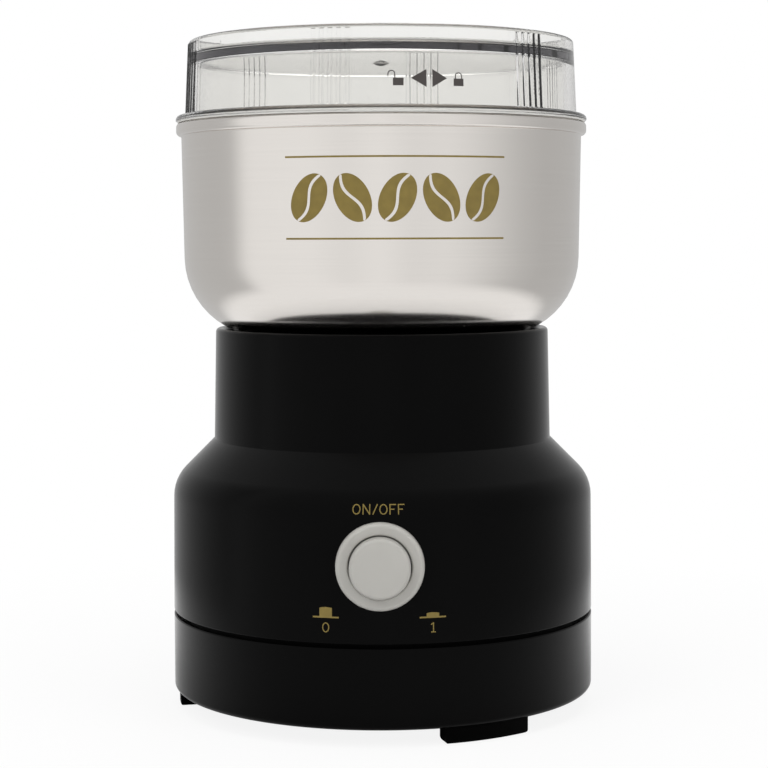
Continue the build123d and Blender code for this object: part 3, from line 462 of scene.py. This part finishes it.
base = lathe("base_cover_shell", rounded([
    (0, BASE_BOTTOM, 0),
    (BASE_R, BASE_BOTTOM, BASE_EDGE),
    (BASE_R, BASE_TOP, SEAM_EDGE),
    (SPIGOT_R, BASE_TOP, 0),
    (SPIGOT_R, SPIGOT_TOP, SEAM_EDGE),
    (SPIGOT_INNER, SPIGOT_TOP, SEAM_EDGE),
    (SPIGOT_INNER, LEDGE_TOP, 0),
    (BASE_R - WALL, LEDGE_BOTTOM, 0),
    (BASE_R - WALL, FLOOR_TOP, 0),
    (0, FLOOR_TOP, 0),
]))
below, above = BASE_BOTTOM - OVERRUN, FLOOR_TOP + OVERRUN
combine(base, join(rods(TOWER_R, FLOOR_TOP - OVERRUN, HOUSING_BOTTOM, SCREW_CIRCLE, SCREW_ANGLES)), "UNION")
cutters = rods(SCREW_WELL, below, WELL_TOP, SCREW_CIRCLE, SCREW_ANGLES)
cutters += rods(PEG_R, below, above, PEG_CIRCLE, FOOT_ANGLES)
cutters += [vent_tool(angle, below, above) for angle in spaced(VENT_COUNT, 0)]
combine(base, join(cutters), "DIFFERENCE")
holes = rods(SCREW_HOLE, WELL_TOP - OVERRUN, HOUSING_BOTTOM + OVERRUN, SCREW_CIRCLE, SCREW_ANGLES)
combine(base, join(holes), "DIFFERENCE")
inlet = rod(GLAND_R, -BASE_R - WALL, -SCREW_CIRCLE)
aim_front(inlet, GLAND_Z)
combine(base, inlet, "DIFFERENCE")
dress(base, "grinder_body", MATERIALS["gloss_black"], "base_cover")


# Button and its bezel

def seat_on_belly(radius, out, angle):
    """Move the back of the bezel's rim onto the round wall of the housing."""
    if radius > BEZEL_TUBE + HAIR and out < BEZEL_SEAT + HAIR:
        x, up = polar(radius, angle)
        out = math.sqrt(radius_at(housing_outline, BUTTON_Z + up) ** 2 - x ** 2) + HAIR
    return radius, out


bezel = lathe("button_bezel_ring", rounded([
    (BEZEL_HOLE, BEZEL_BACK, 0),
    (BEZEL_TUBE, BEZEL_BACK, SEAM_EDGE),
    (BEZEL_TUBE, BEZEL_SEAT, 0),
    *[(BEZEL_TUBE + (BEZEL_R - BEZEL_TUBE) * k / 4, BEZEL_SEAT, 0) for k in (1, 2, 3, 4)],
    (BEZEL_R, BEZEL_FRONT, BEZEL_EDGE),
    (BEZEL_HOLE, BEZEL_FRONT, BEZEL_LIP),
]), spaced(BUTTON_SEGMENTS, 0), seat_on_belly)
aim_front(bezel, BUTTON_Z)
dress(bezel, "grinder_body", MATERIALS["grey_button"], "button_bezel")


cap = lathe("button_cap_face", rounded([
    *[(CAP_R * k / 12, CAP_FRONT - CAP_CROWN * (k / 12) ** 2, 0) for k in range(10)],
    (CAP_R, CAP_FRONT - CAP_CROWN, CAP_EDGE),
    (CAP_R, CAP_LIP_FRONT, 0),
    (CAP_LIP_R, CAP_LIP_FRONT, FOLD_ROUND),
    (CAP_LIP_R, CAP_BACK, FOLD_ROUND),
    (CAP_INNER, CAP_BACK, 0),
    (CAP_INNER, CAP_FACE, 0),
    (0, CAP_FACE, 0),
]), spaced(BUTTON_SEGMENTS, 0))
aim_front(cap, BUTTON_Z)
dress(cap, "button", MATERIALS["grey_button"], "button_cap")


def coil(name, radius, wire, bottom, top, turns, steps=40, sides=14):
    """Open coil of round wire along Z between two heights."""
    mesh = bmesh.new()
    rise = top - bottom - wire * 2
    slope = math.atan2(rise, math.tau * radius * turns)
    rings = []
    for k in range(turns * steps + 1):
        ahead = Vector((*polar(1, 360 * k / steps), 0))
        across = Vector((ahead.y * math.sin(slope), -ahead.x * math.sin(slope), math.cos(slope)))
        middle_line = ahead * radius + Vector((0, 0, bottom + wire + rise * k / (turns * steps)))
        spokes = [polar(wire, 360 * side / sides) for side in range(sides)]
        rings.append([mesh.verts.new((middle_line + ahead * u + across * v) * MM) for u, v in spokes])
    for low, high in zip(rings, rings[1:]):
        for k in range(sides):
            after = (k + 1) % sides
            mesh.faces.new((low[k], low[after], high[after], high[k]))
    mesh.faces.new(rings[0])
    mesh.faces.new(rings[-1])
    return to_object(name, mesh)


spring = coil("button_spring_coil", SPRING_R, SPRING_WIRE, SPRING_BACK, SPRING_FRONT, SPRING_TURNS)
aim_front(spring, BUTTON_Z)
dress(spring, "grinder_body", MATERIALS["plain_steel"], "button_spring", sharp=60)
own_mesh(spring)


# Grinding bowl

def near_any(angle, centres, half):
    return any(abs((angle - centre + 180) % 360 - 180) <= half for centre in centres)


def cut_notches(radius, height, angle):
    """Open the lip where the lid's lugs pass."""
    on_lip = abs(radius - LIP_R) <= FOLD_ROUND + HAIR and height > RIM_TOP - SHEET - HAIR
    if on_lip and near_any(angle, LUG_ANGLES, NOTCH_HALF):
        return NOTCH_R, height
    return radius, height


def with_steps(angles, centres, half):
    """Angles with a close pair at each end of each span."""
    ends = [centre + side * (half + gap) for centre in centres for side in (-1, 1) for gap in (0, 0.03)]
    return sorted({round(angle % 360, 4) for angle in [*angles, *ends]})


bowl_outline = rounded([
    (BOWL_HOLE, DECK_TOP, 0),
    (BOWL_FLOOR_R, DECK_TOP, BOWL_CORNER),
    (BOWL_RIM_R, BEAD_BOTTOM, FOLD_ROUND),
    (BEAD_R, BEAD_BOTTOM, BEAD_ROUND),
    (BEAD_R, RIM_TOP, BEAD_ROUND),
    (LIP_R, RIM_TOP, FOLD_ROUND),
    (LIP_R, RIM_TOP - SHEET, FOLD_ROUND),
    (GROOVE_R, RIM_TOP - SHEET, FOLD_ROUND),
    (GROOVE_R, BEAD_BOTTOM + SHEET, FOLD_ROUND),
    (BOWL_RIM_R - SHEET, BEAD_BOTTOM + SHEET, FOLD_ROUND),
    (BOWL_FLOOR_R - SHEET, DECK_TOP + SHEET, BOWL_CORNER - SHEET),
    (BOWL_HOLE, DECK_TOP + SHEET, 0),
])
bowl_angles = with_steps(spaced(SEGMENTS, 0), LUG_ANGLES, NOTCH_HALF)
bowl = lathe("grinding_bowl_shell", bowl_outline, bowl_angles, cut_notches)
dress(bowl, "grinder_body", MATERIALS["bowl_steel"], "grinding_bowl")


# Lid

def wall_radius(height):
    return LID_BASE_R + (LID_TOP_R - LID_BASE_R) * (height - FLANGE_TOP) / (LID_TOP - FLANGE_TOP)


def bell(share):
    """Smooth swell, one in its middle and zero at its edge."""
    return (1 + math.cos(math.pi * min(1, abs(share)))) / 2


def rib_height(angle):
    """How far the nearest grip rib, round in section, stands out of the wall at an angle."""
    turns = [(angle - group - offset + 180) % 360 - 180 for group in GRIP_ANGLES for offset in GRIP_OFFSETS]
    away = LID_BASE_R * math.radians(min(abs(turn) for turn in turns))
    return max(0, math.sqrt(max(0, RIB_R ** 2 - away ** 2)) - RIB_R + RIB_PROUD)


def lid_form(radius, height, angle):
    """Stand the lugs out of the skirt and the grip ribs out of the wall."""
    on_lug = abs(radius - SKIRT_R) < HAIR and LUG_BOTTOM <= height <= LUG_TOP
    if on_lug and near_any(angle, LUG_ANGLES, LUG_HALF):
        return LUG_R, height
    if LID_TOP_R - HAIR < radius <= LID_BASE_R and RIB_BOTTOM <= height <= RIB_TOP:
        return radius + ribs[angle], height
    return radius, height


rib_half = math.degrees(math.sqrt(RIB_R ** 2 - (RIB_R - RIB_PROUD) ** 2) / LID_BASE_R)
rib_angles = [group + offset + rib_half * k / 5
              for group in GRIP_ANGLES for offset in GRIP_OFFSETS for k in range(-5, 6)]
lid_angles = with_steps([*spaced(SEGMENTS, 0), *rib_angles], LUG_ANGLES, LUG_HALF)
ribs = {angle: rib_height(angle) for angle in lid_angles}
lid = lathe("lid_cover_shell", rounded([
    *[(GATE_R * k / 12, PLATE_BOTTOM - GATE_DEPTH * bell(k / 12), 0) for k in range(13)],
    (LID_INNER, PLATE_BOTTOM, PLATE_ROUND),
    (SKIRT_INNER, SKIRT_BOTTOM, SKIRT_ROUND),
    (SKIRT_R, SKIRT_BOTTOM, SKIRT_ROUND),
    (SKIRT_R, LUG_BOTTOM - HAIR, 0),
    (SKIRT_R, LUG_BOTTOM, 0),
    (SKIRT_R, LUG_TOP, 0),
    (SKIRT_R, LUG_TOP + HAIR, 0),
    (SKIRT_R, FLANGE_BOTTOM, 0),
    (FLANGE_R, FLANGE_BOTTOM, FOLD_ROUND),
    (FLANGE_R, FLANGE_TOP, FLANGE_ROUND),
    (LID_BASE_R, FLANGE_TOP, 0),
    *[(wall_radius(z), z, 0) for z in (RIB_BOTTOM - RIB_END / 2, RIB_BOTTOM, RIB_TOP, RIB_TOP + RIB_END)],
    (LID_TOP_R, LID_TOP, LID_RIM),
    (LID_INNER, LID_TOP, LID_RIM),
    (LID_INNER, PLATE_TOP, PLATE_ROUND),
    (0, PLATE_TOP, 0),
]), lid_angles, lid_form)
dress(lid, "lid", MATERIALS["clear_plastic"], "lid_cover", sharp=40)


# Prints, drawn flat and wrapped onto the round walls

INK_WIDTH, INK_DEPTH, INK_STEP = 0.25, 0.03, 0.7


def band(columns, tilt=0.0, at=(0, 0)):
    """Strip of quads from columns of place, low edge and high edge."""
    turn = Matrix.Rotation(math.radians(tilt), 2)
    pairs = [[tuple(turn @ Vector((u, v)) + Vector(at)) for v in (low, high)] for u, low, high in columns]
    return [(a[0], b[0], b[1], a[1]) for a, b in zip(pairs, pairs[1:])]


def bar(left, right, low, high, crown=0.0):
    """Box, its top edge crowned if wanted."""
    top = [(right + (left - right) * k / 12, high + crown * (1 - (k / 6 - 1) ** 2)) for k in range(13)]
    return [((left, low), (right, low), *top)]


def stroke(points, width, closed=False):
    """Strip along a path, mitred at its corners."""
    path = [Vector(p) for p in points]
    edges = []
    for k, here in enumerate(path):
        before = path[k - 1] if k or closed else here * 2 - path[1]
        after = path[(k + 1) % len(path)] if k + 1 < len(path) or closed else here * 2 - path[k - 1]
        a, b = (here - before).normalized(), (after - here).normalized()
        along = (a + b).normalized()
        side = Vector((-along.y, along.x)) * (width / 2 / along.dot(a))
        edges.append((tuple(here + side), tuple(here - side)))
    ends = edges[1:] + edges[:1] if closed else edges[1:]
    return [(a[0], b[0], b[1], a[1]) for a, b in zip(edges, ends)]


def arc(u, v, wide, tall, first, last, steps):
    turns = [math.radians(first + (last - first) * k / steps) for k in range(steps + 1)]
    return [(u + wide * math.cos(t), v + tall * math.sin(t)) for t in turns]


def oval(u, v, wide, tall):
    return stroke(arc(u, v, wide, tall, 0, 360, 40)[:-1], INK_WIDTH, closed=True)


def printed(name, shapes, outline, x, height, material, body):
    """Thin inked layer on the round front of an outline, its middle at a place across and a height."""
    reach = radius_at(outline, height)
    centre = FRONT + math.degrees(math.asin(x / reach))
    mesh = bmesh.new()
    for shape in shapes:
        mesh.faces.new([mesh.verts.new((*point, 0)) for point in shape])
    bmesh.ops.remove_doubles(mesh, verts=mesh.verts, dist=HAIR / 10)
    for across in (Vector((1, 0, 0)), Vector((0, 1, 0))):
        places = [vert.co.dot(across) for vert in mesh.verts]
        first, last = min(places), max(places)
        steps = math.ceil((last - first) / INK_STEP)
        for k in range(1, steps):
            bmesh.ops.bisect_plane(mesh, geom=mesh.verts[:] + mesh.edges[:] + mesh.faces[:], dist=HAIR / 100,
                                   plane_co=across * (first + (last - first) * k / steps), plane_no=across)
    mesh.normal_update()
    for face in mesh.faces:
        if face.normal.z < 0:
            face.normal_flip()
    for vert in mesh.verts:
        u, v = vert.co.xy
        px, py = polar(radius_at(outline, height + v) + HAIR, centre + math.degrees(u / reach))
        vert.co = (px * MM, py * MM, (height + v) * MM)
    mesh.normal_update()
    bmesh.ops.solidify(mesh, geom=mesh.faces[:], thickness=-INK_DEPTH * MM)
    return dress(to_object(name, mesh), body, material, sharp=30)


def on_housing(name, shapes, x, height):
    printed(name, shapes, housing_outline, x, height, GOLD, "grinder_body")


# Marks round the button

MARK_LEFT, MARK_RIGHT, ICON_Z, NUMBER_Z = -12.9, 12.45, 31.2, 28.75
WORD_X, WORD_Z = -0.7, 56.95
PANEL_HALF, PANEL_INK, KNOB_HALF, KNOB_CROWN, KNOB_OUT, KNOB_IN = 3.2, 0.19, 1.53, 0.2, 2.2, 0.95
TALL, LETTER_HALF, ROUND_HALF, ZERO_HALF = 1.2, 0.78, 0.84, 0.72
ARM_LOW, SLASH_FOOT, SLASH_HEAD = -0.1, -0.95, 0.15
O_PLACES, N_PLACE, F_PLACES = (-4.8, 1.55), -2.45, (3.75, 5.75)
ONE_LEFT, ONE_RIGHT, ONE_FOOT, FLAG_TIP, FLAG_LOW, FLAG_HIGH, FLAG_WIDTH = -0.46, 0.71, 0.22, -0.48, 0.66, 1.03, 0.22


def raised_icon(tall):
    """A button seen from the side on its panel, standing out by a height."""
    panel = bar(-PANEL_HALF, PANEL_HALF, -PANEL_INK, PANEL_INK)
    return panel + bar(-KNOB_HALF, KNOB_HALF, PANEL_INK, tall, KNOB_CROWN)


def letter_n(u):
    stem = INK_WIDTH / 2
    inner, top = LETTER_HALF - stem, TALL - 2 * INK_WIDTH
    stems = [bar(u + side - stem, u + side + stem, -TALL, TALL) for side in (-LETTER_HALF, LETTER_HALF)]
    return stems[0] + band([(u - inner, top, TALL), (u + inner, -TALL, -top)]) + stems[1]


def letter_f(u):
    left, inner = u - LETTER_HALF, u - LETTER_HALF + INK_WIDTH
    upper = bar(inner, u + LETTER_HALF, TALL - INK_WIDTH, TALL)
    lower = bar(inner, u + LETTER_HALF / 2, ARM_LOW, ARM_LOW + INK_WIDTH)
    return bar(left, inner, -TALL, TALL) + upper + lower


round_tall = TALL - INK_WIDTH / 2
zero = oval(0, 0, ZERO_HALF, round_tall)
one = bar(0, INK_WIDTH, ONE_FOOT - TALL, TALL) + bar(ONE_LEFT, ONE_RIGHT, -TALL, ONE_FOOT - TALL)
one += stroke([(FLAG_TIP, FLAG_LOW), (0, FLAG_HIGH)], FLAG_WIDTH)
word = oval(O_PLACES[0], 0, ROUND_HALF, round_tall) + letter_n(N_PLACE)
word += stroke([(SLASH_FOOT, -TALL), (SLASH_HEAD, TALL)], INK_WIDTH)
word += oval(O_PLACES[1], 0, ROUND_HALF, round_tall) + letter_f(F_PLACES[0]) + letter_f(F_PLACES[1])
on_housing("mark_off_icon", raised_icon(KNOB_OUT), MARK_LEFT, ICON_Z)
on_housing("mark_on_icon", raised_icon(KNOB_IN), MARK_RIGHT, ICON_Z)
on_housing("mark_off_number", zero, MARK_LEFT, NUMBER_Z)
on_housing("mark_on_number", one, MARK_RIGHT, NUMBER_Z)
on_housing("mark_switch_word", word, WORD_X, WORD_Z)


# Band of beans on the bowl

BEAN_LONG, BEAN_WIDE, BEAN_PITCH, BEAN_COUNT, BEAN_TILT, BEAN_STEPS = 6.1, 4.1, 10.6, 5, 62, 28
SEAM_SWING, SEAM_GAP, SEAM_SHARE = 0.22, 0.09, 0.3
RULE_HALF, RULE_LEVEL, RULE_INK = 27.2, 9.6, 0.22
BAND_X, BAND_Z = 4.4, 130.0


def bean(at, tilt):
    """Two halves of a coffee bean on either side of its curved seam."""
    upper, lower = [], []
    for k in range(BEAN_STEPS + 1):
        s = -math.cos(math.pi * k / BEAN_STEPS)
        rim = BEAN_WIDE * math.sqrt(max(0, 1 - s * s))
        seam = SEAM_SWING * BEAN_WIDE * math.sin(math.pi * s)
        gap = min(SEAM_GAP * BEAN_WIDE, rim * SEAM_SHARE)
        upper.append((s * BEAN_LONG, min(seam + gap, rim), rim))
        lower.append((s * BEAN_LONG, -rim, max(seam - gap, -rim)))
    return band(upper, tilt, at) + band(lower, tilt, at)


emblem = []
for k in range(BEAN_COUNT):
    emblem += bean(((k - (BEAN_COUNT - 1) / 2) * BEAN_PITCH, 0), 180 - BEAN_TILT if k % 2 else BEAN_TILT)
for level in (-RULE_LEVEL, RULE_LEVEL):
    emblem += bar(-RULE_HALF, RULE_HALF, level - RULE_INK, level + RULE_INK)
printed("bowl_bean_band", emblem, bowl_outline, BAND_X, BAND_Z, GOLD, "grinder_body")


# Turning marks on the lid

ARROW_HALF, ARROW_BASE, LEFT_TIP, RIGHT_TIP = 2.1, 0.7, -4.4, 4.3
LOCK_HALF, LOCK_TALL, BOW_R, BOW_RISE = 1.25, 1.75, 0.8, 0.55
OPEN_LOCK, CLOSED_LOCK, OPEN_LIFT, OPEN_SWING = -7.4, 7.2, 0.35, -1.6
TURN_X, TURN_Z = 11.9, 157.8


def arrow(base_u, tip_u):
    return [((base_u, -ARROW_HALF), (base_u, ARROW_HALF), (tip_u, 0))]


def padlock(u, lift, swing):
    """Small lock with its shackle closed, or lifted and swung aside."""
    bow = arc(u + swing, BOW_RISE + lift, BOW_R, BOW_R, 0, 180, 14)
    shackle = [(u + swing + BOW_R, 0), *bow, (u + swing - BOW_R, lift)]
    return bar(u - LOCK_HALF, u + LOCK_HALF, -LOCK_TALL, 0) + stroke(shackle, INK_WIDTH)


lid_wall = [(wall_radius(z), z) for z in (FLANGE_TOP, LID_TOP)]
turning = arrow(-ARROW_BASE, LEFT_TIP) + arrow(ARROW_BASE, RIGHT_TIP)
turning += padlock(OPEN_LOCK, OPEN_LIFT, OPEN_SWING) + padlock(CLOSED_LOCK, 0, 0)
printed("lid_turn_marks", turning, lid_wall, TURN_X, TURN_Z, DARK, "lid")


# Stage, light and camera

FLOOR_SIZE, FLOOR_DROP, NEAR, FAR, SHADE = 6.0, 0.05, 0.07, 0.24, 0.88
RING_START, RING_FULL, RING_FADE, RING_END = 0.08, 0.13, 0.17, 0.23
PLAIN_LIGHT = 0.5
# Light that metal and gloss mirror, by degrees to the right of the camera
ROUND_LIGHT = ((-180, 0.60), (-105, 0.575), (-93, 0.60), (-81, 0.98), (-40, 1.0), (-20, 0.93), (0, 1.0), (18, 0.90),
               (38, 0.93), (52, 0.86), (65, 0.77), (76, 0.69), (88, 0.61), (105, 0.55), (140, 0.56), (180, 0.60))
ZENITH_LIGHT, ZENITH_START, ZENITH_END = 1.0, 0.6, 0.95
# Name, place, size and power of each lamp, and whether mirrors and clear plastic show it
LAMPS = (
    ("key", (-0.55, -0.75, 0.75), (0.5, 0.7), 4.2, False),
    ("fill", (0.75, -0.6, 0.45), (0.5, 0.8), 2.2, False),
    ("top", (0.0, -0.15, 0.95), (0.7, 0.5), 2.8, False),
    ("back", (0.03, 0.5, 0.75), (0.2, 0.35), 0.4, True),
)
LAMP_AIM = Vector((0, 0, 0.085))


def math_node(tree, operation, first, second):
    node = tree.nodes.new("ShaderNodeMath")
    node.operation = operation
    for socket, value in zip(node.inputs, (first, second)):
        if isinstance(value, (int, float)):
            socket.default_value = value
        else:
            tree.links.new(value, socket)
    return node.outputs[0]


def seen_rays(tree, *names):
    """One for rays of the named kinds, or else zero."""
    path = tree.nodes.new("ShaderNodeLightPath")
    total = path.outputs[names[0]]
    for name in names[1:]:
        total = math_node(tree, "MAXIMUM", total, path.outputs[name])
    return total


def mixed(tree, share, first, second):
    mix = tree.nodes.new("ShaderNodeMixShader")
    tree.links.new(share, mix.inputs["Fac"])
    tree.links.new(first, mix.inputs[1])
    tree.links.new(second, mix.inputs[2])
    return mix.outputs["Shader"]


def stage_material():
    """White to the eye, plain to the light so that it keeps the shadow, and a white ring to mirrors."""
    material, tree, shader = new_material("stage_white")
    shader.inputs["Base Color"].default_value = (0.9, 0.9, 0.9, 1)
    shader.inputs["Roughness"].default_value = 0.9
    glow = tree.nodes.new("ShaderNodeEmission")
    clear = tree.nodes.new("ShaderNodeBsdfTransparent")
    place = tree.nodes.new("ShaderNodeTexCoord")
    length = tree.nodes.new("ShaderNodeVectorMath")
    length.operation = "LENGTH"
    tree.links.new(place.outputs["Object"], length.inputs[0])
    away = length.outputs["Value"]
    eye = seen_rays(tree, "Is Camera Ray", "Is Transmission Ray")
    mirror = seen_rays(tree, "Is Glossy Ray")
    shown = math_node(tree, "MULTIPLY", eye, ranged(tree, away, SHADE, 1.0, NEAR, FAR))
    ring = math_node(tree, "MULTIPLY", mirror, ranged(tree, away, 0.0, 1.0, RING_START, RING_FULL))
    white = mixed(tree, math_node(tree, "MAXIMUM", shown, ring), shader.outputs["BSDF"], glow.outputs["Emission"])
    beyond = math_node(tree, "MULTIPLY", mirror, ranged(tree, away, 0.0, 1.0, RING_FADE, RING_END))
    result = mixed(tree, beyond, white, clear.outputs["BSDF"])
    tree.links.new(result, tree.nodes["Material Output"].inputs["Surface"])
    return material


def background(tree, level):
    node = tree.nodes.new("ShaderNodeBackground")
    if isinstance(level, (int, float)):
        node.inputs["Color"].default_value = (level, level, level, 1)
    else:
        tree.links.new(level, node.inputs["Color"])
    return node.outputs["Background"]


def studio_world():
    """Even light for plain surfaces, bright and dim sides for mirrors, white for the eye and clear plastic."""
    world = bpy.data.worlds.new("studio")
    world.use_nodes = True
    tree = world.node_tree
    place = tree.nodes.new("ShaderNodeTexCoord")
    split = tree.nodes.new("ShaderNodeSeparateXYZ")
    tree.links.new(place.outputs["Generated"], split.inputs[0])
    forward = math_node(tree, "MULTIPLY", split.outputs["Y"], -1.0)
    around = math_node(tree, "ARCTAN2", split.outputs["X"], forward)
    turn = ranged(tree, around, 0.0, 1.0, -math.pi, math.pi)
    sides = colour_ramp(tree, turn, [((degrees + 180) / 360, (level,) * 3) for degrees, level in ROUND_LIGHT])
    blend = tree.nodes.new("ShaderNodeMix")
    blend.data_type = "RGBA"
    tree.links.new(ranged(tree, split.outputs["Z"], 0.0, 1.0, ZENITH_START, ZENITH_END), blend.inputs["Factor"])
    tree.links.new(sides, blend.inputs["A"])
    blend.inputs["B"].default_value = (ZENITH_LIGHT, ZENITH_LIGHT, ZENITH_LIGHT, 1)
    mirrored = background(tree, blend.outputs["Result"])
    lit = mixed(tree, seen_rays(tree, "Is Glossy Ray"), background(tree, PLAIN_LIGHT), mirrored)
    shown = mixed(tree, seen_rays(tree, "Is Camera Ray", "Is Transmission Ray"), lit, background(tree, 1.0))
    tree.links.new(shown, tree.nodes["World Output"].inputs["Surface"])
    return world


def softbox(name, place, size, power, mirrored):
    data = bpy.data.lights.new(name, "AREA")
    data.shape = "RECTANGLE"
    data.size, data.size_y = size
    data.energy = power
    lamp = bpy.data.objects.new(name, data)
    lamp.location = place
    lamp.rotation_euler = (LAMP_AIM - Vector(place)).to_track_quat("-Z", "Y").to_euler()
    lamp.visible_camera = False
    lamp.visible_glossy = lamp.visible_transmission = mirrored
    bpy.context.scene.collection.objects.link(lamp)


floor_mesh = bmesh.new()
bmesh.ops.create_grid(floor_mesh, x_segments=1, y_segments=1, size=FLOOR_SIZE)
floor = to_object("floor", floor_mesh)
floor.location.z = -FLOOR_DROP * MM
floor.data.materials.append(stage_material())

bpy.context.scene.world = studio_world()
for lamp in LAMPS:
    softbox(*lamp)

CAMERA_AWAY, CAMERA_UP, CAMERA_ASIDE = 520.3, 121.3, 0.5
CAMERA_PITCH, CAMERA_ROLL, CAMERA_TURN = 4.268, -0.2, 0.63
SENSOR, LENS, CLIP_START = 36.0, 93.77, 0.01
camera_data = bpy.data.cameras.new("camera")
camera_data.sensor_width = SENSOR
camera_data.lens = LENS
camera_data.clip_start = CLIP_START
camera = bpy.data.objects.new("camera", camera_data)
bpy.context.scene.collection.objects.link(camera)
spot = Vector((CAMERA_ASIDE, -CAMERA_AWAY, CAMERA_UP)) * MM
tilt = Matrix.Rotation(math.radians(90 - CAMERA_PITCH), 4, "X")
roll = Matrix.Rotation(math.radians(CAMERA_ROLL), 4, "Z")
turn = Matrix.Rotation(math.radians(CAMERA_TURN), 4, "Z")
camera.matrix_world = turn @ Matrix.Translation(spot) @ tilt @ roll
bpy.context.scene.camera = camera
bpy.context.scene.view_settings.view_transform = "Standard"
